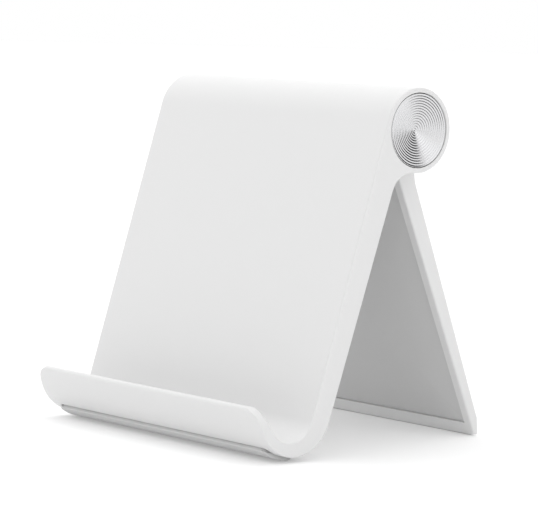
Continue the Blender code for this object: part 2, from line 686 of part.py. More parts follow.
def build_stand():
    for old in list(bpy.data.objects):
        bpy.data.objects.remove(old)
    white = make_material("white_plastic", (0.86, 0.86, 0.86), 0.45)
    inner_white = make_material("inner_plastic", (0.80, 0.80, 0.80), 0.55)
    silicone = make_material("silicone", (0.72, 0.72, 0.72), 0.7)
    steel = make_material("steel", (0.62, 0.62, 0.63), 0.3, 1.0)
    brass = make_material("brass", (0.78, 0.6, 0.32), 0.3, 1.0)
    aluminium = make_material("aluminium", (0.86, 0.86, 0.87), 0.25, 1.0)

    hinge = make_pivot("hinge_centre", (0, -rest_middle(), AXIS_HEIGHT), 0)
    plate_pivot = make_pivot("plate_pivot", (0, 0, 0), -PLATE_TILT, hinge)
    leg_pivot = make_pivot("leg_pivot", (0, 0, 0), LEG_TILT, hinge)

    shell = build_front_plate(white, plate_pivot)
    build_cover(white, steel, plate_pivot)
    build_front_foot(silicone, hinge, shell)
    build_leg(white, inner_white, silicone, steel, leg_pivot)
    build_hinge((steel, brass, aluminium), inner_white, plate_pivot)
    bpy.context.view_layer.update()


build_stand()
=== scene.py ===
"""White folding phone stand: its shells, soft feet, turned end discs and hinge, standing on a pale floor."""

import json
import math

import bmesh
import bpy
import numpy as np
from mathutils import Matrix, Vector


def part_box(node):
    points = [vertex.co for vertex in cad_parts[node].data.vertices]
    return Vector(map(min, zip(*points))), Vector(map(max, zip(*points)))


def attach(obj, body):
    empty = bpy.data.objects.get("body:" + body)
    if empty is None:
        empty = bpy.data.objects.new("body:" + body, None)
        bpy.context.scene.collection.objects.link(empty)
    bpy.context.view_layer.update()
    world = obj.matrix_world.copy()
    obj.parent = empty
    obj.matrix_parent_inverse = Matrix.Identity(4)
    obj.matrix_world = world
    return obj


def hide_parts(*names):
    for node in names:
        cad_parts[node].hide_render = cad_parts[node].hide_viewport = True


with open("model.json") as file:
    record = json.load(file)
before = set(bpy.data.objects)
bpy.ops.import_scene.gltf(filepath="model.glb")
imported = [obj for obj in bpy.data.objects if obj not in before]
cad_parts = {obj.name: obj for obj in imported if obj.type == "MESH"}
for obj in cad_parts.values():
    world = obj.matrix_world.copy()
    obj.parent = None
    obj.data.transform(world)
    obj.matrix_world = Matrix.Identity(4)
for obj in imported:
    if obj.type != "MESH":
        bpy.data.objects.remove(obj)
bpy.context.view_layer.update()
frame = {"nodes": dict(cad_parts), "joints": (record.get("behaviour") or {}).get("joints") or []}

# ------------------------------------------------------------------ camera, floor and light
# A long lens looks across the stand's right-hand end from just above the table, rolled a little.
# The floor is one pale sheet. A white surround and one broad soft lamp keep the shadows faint.

MM = 0.001
LAMP_SIZE = 0.5
LAMP_POWER = 0.6
SKY_LOW, SKY_HIGH = 1.25, 1.5
SKY_BEHIND, SKY_AHEAD = 0.02, 0.56
FLOOR_REACH = 6.0
FLOOR_TONE = 0.78
FLOOR_GLOW = 0.2

axis = np.array(frame["joints"][0]["pos_m"])

camera_data = bpy.data.cameras.new("camera")
camera_data.sensor_width = 36.0
camera_data.lens = 182.92
camera_data.clip_start = 0.05
camera_data.clip_end = 20.0
camera = bpy.data.objects.new("camera", camera_data)
bpy.context.scene.collection.objects.link(camera)
camera_place = Vector(axis) + Vector((503.06, -438.49, 25.37)) * MM
camera_target = Vector(axis) + Vector((-1.85, -6.78, -33.72)) * MM
camera_roll_up = Vector((0.0, -0.04362, 0.99905))
back = (camera_place - camera_target).normalized()
right = camera_roll_up.cross(back).normalized()
camera.matrix_world = Matrix.Translation(camera_place) @ Matrix(
    (right, back.cross(right), back)
).transposed().to_4x4()
bpy.context.scene.camera = camera
bpy.context.scene.view_settings.view_transform = "Standard"


def soft_lamp(name, place, target, size, power):
    """A square area lamp at one place, facing another."""
    data = bpy.data.lights.new(name, "AREA")
    data.shape = "SQUARE"
    data.size = size
    data.energy = power
    lamp = bpy.data.objects.new(name, data)
    lamp.location = place
    lamp.rotation_euler = (Vector(target) - Vector(place)).to_track_quat("-Z", "Y").to_euler()
    bpy.context.scene.collection.objects.link(lamp)


middle = (0.0, 0.0, 0.04)
soft_lamp("front_lamp", (-0.2, -0.7, 1.1), middle, LAMP_SIZE, LAMP_POWER)

world = bpy.data.worlds.new("surround")
world.use_nodes = True
sky = world.node_tree
sky_way = sky.nodes.new("ShaderNodeTexCoord")
sky_parts = sky.nodes.new("ShaderNodeSeparateXYZ")
sky.links.new(sky_way.outputs["Generated"], sky_parts.inputs["Vector"])


def sky_range(source, low, high, low_value, high_value):
    """A smooth step of one value between two others, for the surround."""
    node = sky.nodes.new("ShaderNodeMapRange")
    node.interpolation_type = "SMOOTHSTEP"
    for name, value in (("From Min", low), ("From Max", high), ("To Min", low_value), ("To Max", high_value)):
        node.inputs[name].default_value = value
    sky.links.new(source, node.inputs["Value"])
    return node.outputs["Result"]


def sky_facing(direction):
    """Cosine of the angle between a sky direction and a given one."""
    node = sky.nodes.new("ShaderNodeVectorMath")
    node.operation = "DOT_PRODUCT"
    node.inputs[1].default_value = Vector(direction).normalized()
    sky.links.new(sky_way.outputs["Generated"], node.inputs[0])
    return node.outputs["Value"]


def sky_times(first, second):
    """Product of two values, for the surround."""
    node = sky.nodes.new("ShaderNodeMath")
    node.operation = "MULTIPLY"
    sky.links.new(first, node.inputs[0])
    sky.links.new(second, node.inputs[1])
    return node.outputs["Value"]


# brighter overhead, greyer towards the front, and one dark patch behind for the turned discs to mirror
height = sky_range(sky_parts.outputs["Z"], -0.05, 0.9, SKY_LOW, SKY_HIGH)
behind = sky_range(sky_facing((0.44, 0.86, 0.28)), 0.87, 0.96, 1.0, SKY_BEHIND)
ahead = sky_range(sky_facing((0.3, -1.0, 0.0)), 0.0, 0.9, 1.0, SKY_AHEAD)
sky_light = sky.nodes["Background"]
sky_light.inputs["Color"].default_value = (1.0, 1.0, 1.0, 1.0)
sky.links.new(sky_times(sky_times(height, behind), ahead), sky_light.inputs["Strength"])
sky_seen = sky.nodes.new("ShaderNodeBackground")
sky_seen.inputs["Color"].default_value = (1.0, 1.0, 1.0, 1.0)
sky_choice = sky.nodes.new("ShaderNodeMixShader")
sky_ray = sky.nodes.new("ShaderNodeLightPath")
sky.links.new(sky_ray.outputs["Is Camera Ray"], sky_choice.inputs["Fac"])
sky.links.new(sky_light.outputs["Background"], sky_choice.inputs[1])
sky.links.new(sky_seen.outputs["Background"], sky_choice.inputs[2])
sky.links.new(sky_choice.outputs["Shader"], sky.nodes["World Output"].inputs["Surface"])
bpy.context.scene.world = world

floor_mesh = bpy.data.meshes.new("floor")
floor_mesh.from_pydata(
    [(-FLOOR_REACH, -FLOOR_REACH, 0), (FLOOR_REACH, -FLOOR_REACH, 0),
     (FLOOR_REACH, FLOOR_REACH, 0), (-FLOOR_REACH, FLOOR_REACH, 0)], [], [(0, 1, 2, 3)])
floor_piece = bpy.data.objects.new("floor", floor_mesh)
bpy.context.scene.collection.objects.link(floor_piece)
floor_finish = bpy.data.materials.new("floor_finish")
floor_finish.use_nodes = True
floor_surface = floor_finish.node_tree.nodes["Principled BSDF"]
floor_surface.inputs["Base Color"].default_value = (FLOOR_TONE, FLOOR_TONE, FLOOR_TONE, 1.0)
floor_surface.inputs["Emission Color"].default_value = (1.0, 1.0, 1.0, 1.0)
floor_surface.inputs["Emission Strength"].default_value = FLOOR_GLOW
floor_surface.inputs["Roughness"].default_value = 0.9
floor_surface.inputs["Specular IOR Level"].default_value = 0.1
floor_mesh.materials.append(floor_finish)


# ------------------------------------------------------------------ front shell
# One white moulding: a barrel that hides the hinge, the plate the phone leans on, and the hook
# with its lip. Behind the barrel a window lets the leg swing, and the plate's back is left open
# for the rear cover. Every outer edge carries a small round from the mould.

PLATE_TILT = math.radians(16.6)
HALF_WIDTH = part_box("front_shell")[1][0]
BARREL = 10.0 * MM
BACK_OFFSET = 2.8 * MM
BACK_TAPER = math.radians(1.5)
PLATE_DROP = 71.8 * MM
NECK_FILLET = 6.0 * MM
TROUGH = 6.5 * MM
HOOK = 10.5 * MM
HOOK_WALL = 3.1 * MM
LIP_OPEN = 49.0
LIP_TAPER = 7.0
LIP_LENGTH = 5.9 * MM
LIP_CORNER = 5.4 * MM
LIP_CORNER_SIDE = 4.2 * MM
EDGE_ROUND = 0.45 * MM
HOOD_END = 30.0
BORE = 8.4 * MM
WEB_INNER = HALF_WIDTH - 13.05 * MM
WEB_OUTER = WEB_INNER + 3.0 * MM
WINDOW_HALF = HALF_WIDTH - 8.9 * MM
END_LINE = HALF_WIDTH - 5.95 * MM
WEB_HOLE = 3.4 * MM
COUNTERBORE = 7.4 * MM
DISC_SEAT = 8.8 * MM
DISC_SEAT_DEPTH = 3.2 * MM
COVER_TOP, COVER_BOTTOM = 17.5 * MM, 66.5 * MM
COVER_HALF = HALF_WIDTH - 3.0 * MM
COVER_SEAT = 1.8 * MM
FOOT_HALF = HALF_WIDTH - 2.8 * MM
FOOT_SEAT = 0.6 * MM
FOOT_CORNER = 1.5 * MM
FOOT_REAR_CORNER = 5.0 * MM
FOOT_FRONT = -126.0
FOOT_REAR = 3.6 * MM
GAP = 0.3 * MM
FOOT_START = FOOT_FRONT - math.degrees(GAP / HOOK) + math.degrees(PLATE_TILT)
FOOT_STOP = math.degrees(GAP / HOOK + PLATE_TILT - math.acos(FOOT_REAR / HOOK))
SHELL_SPACING = 6.0 * MM
LIP_STEPS, TIP_STEPS = 8, 20
HOOK_FRONT_STEPS, HOOK_REAR_STEPS = 6, 8
WEB_RANK, WINDOW_RANK, COVER_RANK, FOOT_RANK = 5, 6, 8, 10
WHITE_TONE = 0.73
WHITE_ROUGHNESS = 0.42


def polar(centre, radius, degrees):
    """Centre plus radius times (cosine, sine) of the angle."""
    angle = math.radians(degrees)
    return np.array([centre[0] + radius * math.cos(angle), centre[1] + radius * math.sin(angle)])


def on_back(offset, down):
    """A point given across and along the plate's rear face, which tapers by a small angle."""
    sine, cosine = math.sin(BACK_TAPER), math.cos(BACK_TAPER)
    return np.array([offset * cosine - down * sine, -offset * sine - down * cosine])


def arc_run(centre, radius, degrees):
    """Rows (y, z, inward y, inward z) on a circle at the given angles; inward is left of the travel."""
    angles = np.radians(degrees)
    spokes = np.stack([np.cos(angles), np.sin(angles)], axis=1)
    turn = np.sign(degrees[-1] - degrees[0])
    return np.hstack([np.asarray(centre) + radius * spokes, -turn * spokes])


def line_run(start, end, shares):
    """Rows on a straight line at the given shares of its length; inward is left of the travel."""
    start, end = np.asarray(start, float), np.asarray(end, float)
    along = (end - start) / np.linalg.norm(end - start)
    inward = np.tile([-along[1], along[0]], (len(shares), 1))
    return np.hstack([start + np.asarray(shares)[:, None] * (end - start), inward])


def join_runs(*runs):
    """One outline from runs laid end to end; a corner takes the mitre of its two inward directions."""
    rows = runs[0]
    for run in runs[1:]:
        mitre = rows[-1, 2:] + run[0, 2:]
        mitre /= 1 + rows[-1, 2:] @ run[0, 2:]
        rows = np.vstack([rows[:-1], np.hstack([rows[-1, :2], mitre]), run[1:]])
    return rows


def lay(rows, columns, sinks=(), shift=0.0, softness=1.0):
    """Grid of points: each outline row at each column's x, rounded off towards the ends.

    Each sink is a move per row and a share of it per column; shift pulls points towards the middle,
    and softness scales the end rounding row by row.
    """
    x = columns["x"][None, :] - np.sign(columns["x"])[None, :] * shift
    rounding = np.reshape(softness, (-1, 1)) * columns["round"][None, :]
    y = rows[:, 0:1] + rows[:, 2:3] * rounding
    z = rows[:, 1:2] + rows[:, 3:4] * rounding
    for move, share in sinks:
        y = y + np.outer(move[:, 0], share)
        z = z + np.outer(move[:, 1], share)
    return np.stack(np.broadcast_arrays(x, y, z), axis=2)


def corner_inset(height, radius):
    """How far a round corner draws a side in, at a height from the corner's end."""
    left = np.clip(radius - height, 0, radius)
    return radius - np.sqrt(radius ** 2 - left ** 2)


def make_columns(half, stations, edge, steps=5):
    """Places across the width: the stations, then a quarter round of the edge radius at each end."""
    swing = np.linspace(0, math.pi / 2, steps + 1)
    x = np.concatenate([stations, half - edge + edge * np.sin(swing)])
    rounding = np.concatenate([np.zeros(len(stations)), edge * (1 - np.cos(swing))])
    return {
        "x": np.concatenate([-x[:0:-1], x]),
        "round": np.concatenate([rounding[:0:-1], rounding]),
    }


def some(columns, chosen):
    """The columns picked out by a mask or a slice."""
    return {key: value[chosen] for key, value in columns.items()}


def weld(name, grids, tilt, origin, smooth_angle=35):
    """Close the grids into one skin: shared points merged, slivers dropped, faces turned outwards."""
    mesh = bpy.data.meshes.new(name)
    points, faces, base = [], [], 0
    for grid in grids:
        count = grid.shape[0] * grid.shape[1]
        index = base + np.arange(count).reshape(grid.shape[:2])
        quads = np.stack([index[:-1, :-1], index[1:, :-1], index[1:, 1:], index[:-1, 1:]], axis=2)
        quads = quads.reshape(-1, 4)
        missing = np.isnan(grid.reshape(-1, 3)[:, 0])
        faces.append(quads[~missing[quads - base].any(axis=1)])
        points.append(grid.reshape(-1, 3))
        base += count
    points, faces = np.vstack(points), np.vstack(faces)
    used, faces = np.unique(faces, return_inverse=True)
    points, faces = points[used], faces.reshape(-1, 4)
    sine, cosine = math.sin(tilt), math.cos(tilt)
    turned = np.stack([
        points[:, 0] + origin[0],
        points[:, 1] * cosine - points[:, 2] * sine + origin[1],
        points[:, 1] * sine + points[:, 2] * cosine + origin[2]], axis=1)
    mesh.from_pydata(turned.tolist(), [], faces.tolist())
    skin = bmesh.new()
    skin.from_mesh(mesh)
    bmesh.ops.remove_doubles(skin, verts=skin.verts, dist=2e-6)
    bmesh.ops.recalc_face_normals(skin, faces=skin.faces)
    skin.to_mesh(mesh)
    skin.free()
    mesh.shade_smooth()
    mesh.set_sharp_from_angle(angle=math.radians(smooth_angle))
    piece = bpy.data.objects.new(name, mesh)
    bpy.context.scene.collection.objects.link(piece)
    return piece


def finish_edges(piece, width, angle=50):
    """Round the edges that are still sharp, and keep flat faces flat under smooth shading."""
    bevel = piece.modifiers.new("edge_round", "BEVEL")
    bevel.width = width
    bevel.segments = 2
    bevel.limit_method = "ANGLE"
    bevel.angle_limit = math.radians(angle)
    bevel.harden_normals = False
    weighted = piece.modifiers.new("flat_faces", "WEIGHTED_NORMAL")
    weighted.keep_sharp = True


def new_group(name, inputs, outputs):
    """A shader node group with named sockets, its input node and its output node."""
    group = bpy.data.node_groups.new(name, "ShaderNodeTree")
    for label, kind, value in inputs:
        socket = group.interface.new_socket(label, in_out="INPUT", socket_type=kind)
        if value is not None:
            socket.default_value = value
    for label, kind in outputs:
        group.interface.new_socket(label, in_out="OUTPUT", socket_type=kind)
    return group, group.nodes.new("NodeGroupInput"), group.nodes.new("NodeGroupOutput")


def add_node(tree, kind, values=(), links=(), **settings):
    """A node with its settings, its constant socket values and its incoming links."""
    node = tree.nodes.new(kind)
    for name, value in settings.items():
        setattr(node, name, value)
    for name, value in values:
        node.inputs[name].default_value = value
    for name, source in links:
        tree.links.new(source, node.inputs[name])
    return node


# the grain of every moulded piece: fine pits, a slow waviness, and the roughness and tone that follow them
grain, grain_in, grain_out = new_group(
    "mould_grain",
    [("Point", "NodeSocketVector", None), ("Tone", "NodeSocketColor", (0.8, 0.8, 0.8, 1.0)),
     ("Roughness", "NodeSocketFloat", 0.45), ("Grain Scale", "NodeSocketFloat", 4500.0),
     ("Grain Height", "NodeSocketFloat", 0.000006)],
    [("Tone", "NodeSocketColor"), ("Roughness", "NodeSocketFloat"), ("Normal", "NodeSocketVector")])
noise_span = [("From Min", 0.3), ("From Max", 0.7)]  # the band that nearly all of a noise lies in
pits = add_node(grain, "ShaderNodeTexNoise", [("Detail", 2.0), ("Roughness", 0.6)], [
    ("Vector", grain_in.outputs["Point"]), ("Scale", grain_in.outputs["Grain Scale"])])
waves = add_node(grain, "ShaderNodeTexNoise", [("Scale", 160.0), ("Detail", 2.0)], [
    ("Vector", grain_in.outputs["Point"])])
pit_bump = add_node(grain, "ShaderNodeBump", [("Strength", 1.0)], [
    ("Height", pits.outputs["Fac"]), ("Distance", grain_in.outputs["Grain Height"])])
wave_bump = add_node(grain, "ShaderNodeBump", [("Strength", 1.0), ("Distance", 0.00002)], [
    ("Height", waves.outputs["Fac"]), ("Normal", pit_bump.outputs["Normal"])])
rough_swing = add_node(
    grain, "ShaderNodeMapRange", noise_span + [("To Min", -0.04), ("To Max", 0.04)],
    [("Value", waves.outputs["Fac"])])
rough_sum = add_node(grain, "ShaderNodeMath", (), [
    (0, grain_in.outputs["Roughness"]), (1, rough_swing.outputs["Result"])], operation="ADD")
tone_swing = add_node(
    grain, "ShaderNodeMapRange", noise_span + [("To Min", 0.985), ("To Max", 1.0)],
    [("Value", pits.outputs["Fac"])])
tone_scaled = add_node(grain, "ShaderNodeVectorMath", (), [
    (0, grain_in.outputs["Tone"]), ("Scale", tone_swing.outputs["Result"])], operation="SCALE")
grain.links.new(tone_scaled.outputs["Vector"], grain_out.inputs["Tone"])
grain.links.new(rough_sum.outputs["Value"], grain_out.inputs["Roughness"])
grain.links.new(wave_bump.outputs["Normal"], grain_out.inputs["Normal"])


def new_material(name, group, group_values, surface_values):
    """A Principled material fed by one of the groups, which reads the piece's own coordinates."""
    material = bpy.data.materials.new(name)
    material.use_nodes = True
    tree = material.node_tree
    surface = tree.nodes["Principled BSDF"]
    place = tree.nodes.new("ShaderNodeTexCoord")
    effect = tree.nodes.new("ShaderNodeGroup")
    effect.node_tree = group
    tree.links.new(place.outputs["Object"], effect.inputs["Point"])
    for label, value in group_values.items():
        effect.inputs[label].default_value = value
    for label, value in surface_values.items():
        surface.inputs[label].default_value = value
    if "Tone" in effect.outputs:
        tree.links.new(effect.outputs["Tone"], surface.inputs["Base Color"])
    tree.links.new(effect.outputs["Roughness"], surface.inputs["Roughness"])
    tree.links.new(effect.outputs["Normal"], surface.inputs["Normal"])
    return material


white_plastic = new_material("white_plastic_finish", grain, {
    "Tone": (WHITE_TONE, WHITE_TONE, WHITE_TONE, 1.0), "Roughness": WHITE_ROUGHNESS}, {"IOR": 1.46})


def settle(piece, body, slot, material, *nodes):
    """The piece rides on a body, stands for CAD nodes, and takes its finish in a new material slot. The slot
    argument is not used.
    """
    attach(piece, body)
    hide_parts(*nodes)
    piece.data.materials.append(material)


def steps_between(start, end, count):
    """Evenly spaced values from start to end in a number of steps."""
    return np.linspace(start, end, count + 1)


hook_drop = PLATE_DROP + TROUGH + HOOK_WALL - HOOK
hook_centre = np.array([
    (-BACK_OFFSET - HOOK - hook_drop * math.sin(BACK_TAPER)) / math.cos(BACK_TAPER), -hook_drop])
trough_centre = np.array([-BARREL - TROUGH, -PLATE_DROP])
taper = math.degrees(BACK_TAPER)
lip_up = polar((0, 0), 1, LIP_OPEN + 90)
inner_start = polar(trough_centre, TROUGH, LIP_OPEN - 180)
inner_end = inner_start + LIP_LENGTH * lip_up
outer_start = polar(hook_centre, HOOK, LIP_OPEN - LIP_TAPER - 180)
outer_up = polar((0, 0), 1, LIP_OPEN - LIP_TAPER + 90)
outer_end = outer_start + ((inner_end - outer_start) @ outer_up) * outer_up
tip_centre = (inner_end + outer_end) / 2
tip_radius = np.linalg.norm(inner_end - outer_end) / 2
tip_start = math.degrees(math.atan2(*(inner_end - tip_centre)[::-1]))

fillet_down = math.sqrt((BARREL + NECK_FILLET) ** 2 - (NECK_FILLET - BACK_OFFSET) ** 2)
fillet_centre = on_back(NECK_FILLET - BACK_OFFSET, fillet_down)
fillet_top = math.degrees(math.atan2(fillet_centre[1], fillet_centre[0])) + 360


def back_angle(radius):
    """Where the plane of the rear face meets a circle round the hinge axis, in degrees."""
    point = on_back(-BACK_OFFSET, math.sqrt(radius ** 2 - BACK_OFFSET ** 2))
    return math.degrees(math.atan2(point[1], point[0])) + 360


bore_meets, barrel_meets = back_angle(BORE), back_angle(BARREL)
landmarks = np.array([HOOD_END, 180.0, bore_meets, barrel_meets, fillet_top])
around = np.arange(HOOD_END, HOOD_END + 360, 5.0)
around = around[np.min(np.abs(around[:, None] - landmarks[None, :]), axis=1) > 1.3]
around = np.sort(np.concatenate([around, landmarks, [HOOD_END + 360]]))


def between(start, end):
    """The barrel's shared angles from start to end."""
    return around[(around >= start - 1e-6) & (around <= end + 1e-6)]


# the outline from the hood's edge over the top, down the face, round the lip and up the back
hook_tangent = polar(hook_centre, HOOK, -taper)
neck_point = on_back(-BACK_OFFSET, fillet_down)


def down_share(down):
    """Share of the way up the rear face, from the hook's tangent to the neck, of a given depth."""
    point = on_back(-BACK_OFFSET, down)
    return np.linalg.norm(point - hook_tangent) / np.linalg.norm(neck_point - hook_tangent)


seat_shares = steps_between(down_share(COVER_BOTTOM), down_share(COVER_TOP), 8)
back_rows = np.concatenate([[0], [down_share(COVER_BOTTOM)], seat_shares, [down_share(COVER_TOP)], [1]])
back_seat = np.concatenate([[0, 0], np.ones(9), [0, 0]])
corner_shares = np.array([0, 0.05, 0.15, 0.3, 0.55, 1.0])
corner_degrees = math.degrees(FOOT_CORNER / HOOK) * corner_shares
foot_degrees = np.concatenate([
    FOOT_START + corner_degrees,
    steps_between(FOOT_START + corner_degrees[-1], FOOT_STOP - corner_degrees[-1], 12)[1:-1],
    (FOOT_STOP - corner_degrees)[::-1]])
hook_start = LIP_OPEN - LIP_TAPER - 180
hook_degrees = np.concatenate([
    steps_between(hook_start, FOOT_START, HOOK_FRONT_STEPS), foot_degrees,
    steps_between(FOOT_STOP, -taper, HOOK_REAR_STEPS)])
hook_foot = np.concatenate([
    np.zeros(HOOK_FRONT_STEPS + 1), np.ones(len(foot_degrees)), np.zeros(HOOK_REAR_STEPS + 1)])
hook_reach = HOOK * np.radians(np.stack([hook_degrees - FOOT_START, FOOT_STOP - hook_degrees]))
hook_inset = np.maximum(
    corner_inset(np.clip(hook_reach[0], 0, None), FOOT_CORNER),
    corner_inset(np.clip(hook_reach[1], 0, None), FOOT_REAR_CORNER)) * (hook_reach.min(axis=0) > -1e-9)
lip_shares = steps_between(0, 1, LIP_STEPS)
tip_degrees = steps_between(tip_start, tip_start + 180, TIP_STEPS)
line_steps = 4
wrap_steps = len(between(barrel_meets, fillet_top)) - 1
fillet_steps = line_steps + wrap_steps
plane_count = fillet_steps + len(back_rows) - 1

rear_z = np.concatenate([
    arc_run(fillet_centre, NECK_FILLET, steps_between(fillet_top - 180, 180 - taper, fillet_steps))[:, 1],
    line_run(hook_tangent, neck_point, back_rows)[::-1][1:, 1]])
ease = np.clip(1 - np.arange(plane_count + 1) / (fillet_steps + 2), 0, 1)
plane_z = rear_z - rear_z[0] * ease
plane_z = plane_z + (-PLATE_DROP - plane_z[-1]) * np.linspace(0, 1, plane_count + 1)
hook_shares = (-taper - hook_degrees[::-1]) / (-taper - hook_start)

top_arc = arc_run((0, 0), BARREL, between(HOOD_END, 180.0))
face = line_run((-BARREL, 0), (-BARREL, -PLATE_DROP), plane_z / -PLATE_DROP)
trough = arc_run(trough_centre, TROUGH, (LIP_OPEN - 180) * hook_shares)
lip_inner = line_run(inner_start, inner_end, lip_shares)
tip = arc_run(tip_centre, tip_radius, tip_degrees)
lip_outer = line_run(outer_end, outer_start, lip_shares)
hook = arc_run(hook_centre, HOOK, hook_degrees)
rear = line_run(hook_tangent, neck_point, back_rows)
outline = join_runs(top_arc, face, trough, lip_inner, tip, lip_outer, hook, rear)
face_row = len(top_arc) - 1
lip_half_rows = LIP_STEPS + TIP_STEPS // 2
tip_row = face_row + plane_count + len(trough) - 1 + lip_half_rows
total = len(outline)
seat_rows = np.zeros(total)
seat_rows[total - len(rear):] = back_seat
hook_from = total - len(rear) - len(hook) + 1
foot_rows = np.zeros(total)
foot_rows[hook_from:hook_from + len(hook)] = hook_foot
foot_inset = np.zeros(total)
foot_inset[hook_from:hook_from + len(hook)] = hook_inset
lip_rows = np.zeros(total)
lip_rows[tip_row - lip_half_rows:tip_row + lip_half_rows + 1] = 1
tip_height = np.clip((tip_centre + tip_radius * lip_up - outline[:, :2]) @ lip_up, 0, None)
lip_height = np.maximum(tip_height, 0.02 * MM)
lip_inset = lip_rows * corner_inset(lip_height, LIP_CORNER) * LIP_CORNER_SIDE / LIP_CORNER
lip_softness = np.where(
    lip_rows > 0, np.sqrt(1 - (1 - np.minimum(lip_height, LIP_CORNER) / LIP_CORNER) ** 2), 1.0)

# a station that comes twice stands for a step: one column on each side of it
stations = np.concatenate([
    SHELL_SPACING * np.arange(WEB_RANK),
    [WEB_INNER, WINDOW_HALF, END_LINE, COVER_HALF, COVER_HALF, FOOT_HALF, FOOT_HALF]])
columns = make_columns(HALF_WIDTH, stations, EDGE_ROUND)
half_size = len(columns["x"]) // 2
rank = np.abs(np.arange(len(columns["x"])) - half_size)
reach = np.abs(columns["x"])
lip_pull = np.clip((reach - WINDOW_HALF) / (HALF_WIDTH - EDGE_ROUND - WINDOW_HALF), 0, 1)
foot_pull = np.clip((reach - WINDOW_HALF) / (FOOT_HALF - WINDOW_HALF), 0, 1) * (rank < len(stations))
skin = lay(outline, columns, [
    (COVER_SEAT * seat_rows[:, None] * outline[:, 2:], rank <= COVER_RANK),
    (FOOT_SEAT * foot_rows[:, None] * outline[:, 2:], rank <= FOOT_RANK)],
    np.outer(lip_inset, lip_pull) + np.outer(foot_inset, foot_pull), lip_softness)

right_end = some(columns, slice(half_size + WINDOW_RANK, None))
strip = some(columns, slice(half_size + WEB_RANK, half_size + WINDOW_RANK + 1))
inner_columns = some(columns, slice(half_size - WEB_RANK, half_size + WEB_RANK + 1))
fillet = arc_run(fillet_centre, NECK_FILLET, steps_between(180 - taper, fillet_top - 180, fillet_steps))
end_rows = join_runs(fillet, arc_run((0, 0), BARREL, between(fillet_top, HOOD_END + 360)))
end_skin = lay(end_rows, right_end)
barrel_point = polar((0, 0), BARREL, barrel_meets)
rear_line = line_run(neck_point, barrel_point, steps_between(0, 1, line_steps))
strip_rows = join_runs(rear_line, arc_run((0, 0), BARREL, between(barrel_meets, HOOD_END + 360)))
strip_skin = lay(strip_rows, strip)
bore_rows = join_runs(
    rear_line,
    line_run(barrel_point, polar((0, 0), BORE, bore_meets), np.array([0, 1])),
    arc_run((0, 0), BORE, between(HOOD_END, bore_meets)[::-1]),
    line_run(polar((0, 0), BORE, HOOD_END), polar((0, 0), BARREL, HOOD_END), np.array([0, 1])))
bore_skin = lay(bore_rows, inner_columns)
crescent = np.stack([end_skin[:fillet_steps + 1, 0], strip_skin[:fillet_steps + 1, -1]], axis=1)

web_loop = np.vstack([
    arc_run((0, 0), BARREL, between(barrel_meets, HOOD_END + 360))[:, :2],
    arc_run((0, 0), BORE, between(HOOD_END, bore_meets))[:, :2],
    barrel_point[None, :]])
web_angles = np.arctan2(web_loop[:, 1], web_loop[:, 0])
web_hole = WEB_HOLE * np.stack([np.cos(web_angles), np.sin(web_angles)], axis=1)
web_face = np.stack([
    np.hstack([np.full((len(web_loop), 1), WEB_INNER), web_loop]),
    np.hstack([np.full((len(web_loop), 1), WEB_INNER), web_hole])], axis=1)


def turned_grid(path, degrees):
    """Grid of a path of (x, radius) pairs spun to each of the given angles about the hinge axis."""
    angles = np.radians(degrees)[:, None]
    path = np.asarray(path, float)
    x = np.broadcast_to(path[None, :, 0], (len(angles), len(path)))
    return np.stack([x, path[:, 1] * np.cos(angles), path[:, 1] * np.sin(angles)], axis=2)


ring_chamfer = 0.15 * MM
seat_x = HALF_WIDTH - DISC_SEAT_DEPTH
end_bore = turned_grid([
    (HALF_WIDTH, BARREL - EDGE_ROUND), (HALF_WIDTH, DISC_SEAT + ring_chamfer),
    (HALF_WIDTH - ring_chamfer, DISC_SEAT), (seat_x, DISC_SEAT), (seat_x, COUNTERBORE),
    (WEB_OUTER, COUNTERBORE), (WEB_OUTER, WEB_HOLE), (WEB_INNER, WEB_HOLE)], around)


def side_cap(front_side, rear_side, first_row, blend_rows, last_row=None):
    """Flat end face as ruled rows between two edges, bulged at first to meet a curved first row."""
    across = np.linspace(0, 1, len(first_row))[None, :, None]
    cap = front_side[:, None, :] * (1 - across) + rear_side[:, None, :] * across
    fade = np.clip(1 - np.arange(len(front_side)) / blend_rows, 0, 1)[:, None, None]
    cap = cap + fade * (first_row[None] - cap[0:1])
    if last_row is not None:
        cap[-1] = last_row
    return cap


front_side = skin[face_row:tip_row + 1, -1]
rear_side = np.vstack([end_skin[:fillet_steps + 1, -1][::-1], skin[tip_row:total - 1, -1][::-1]])
neck_degrees = between(180.0, fillet_top)
neck_row = turned_grid([(HALF_WIDTH, BARREL - EDGE_ROUND)], neck_degrees)[:, 0]
end_cap = side_cap(front_side, rear_side, neck_row, fillet_steps + 2)

mirrored = [grid * np.array([-1, 1, 1]) for grid in
            (end_skin, strip_skin, crescent, web_face, end_bore, end_cap)]
shell = weld("front_shell_skin", [
    skin, end_skin, strip_skin, bore_skin, crescent, web_face, end_bore, end_cap] + mirrored,
    -PLATE_TILT, axis)
finish_edges(shell, 0.12 * MM)
settle(shell, "front", "white_plastic", white_plastic, "front_shell")


# ------------------------------------------------------------------ rear cover
# A flat moulded sheet let into the back of the plate, held by four small screws.
# Its holes are countersunk so that the heads lie just under the surface.

SCREW_INSET = 6.5 * MM
SCREW_HEAD = 1.6 * MM
SCREW_BODY = 0.8 * MM
COVER_SHEET = 1.5 * MM

back_base = on_back(-BACK_OFFSET, 0)
back_down = on_back(0, 1) - on_back(0, 0)
back_inward = on_back(-1, 0) - on_back(0, 0)


def on_face(local, base, down_way, inward):
    """Places (x, distance down, depth) points on a leaning face given by its origin and directions."""
    flat = np.asarray(base) + local[..., 1:2] * np.asarray(down_way) + local[..., 2:3] * np.asarray(inward)
    return np.concatenate([local[..., 0:1], flat], axis=-1)


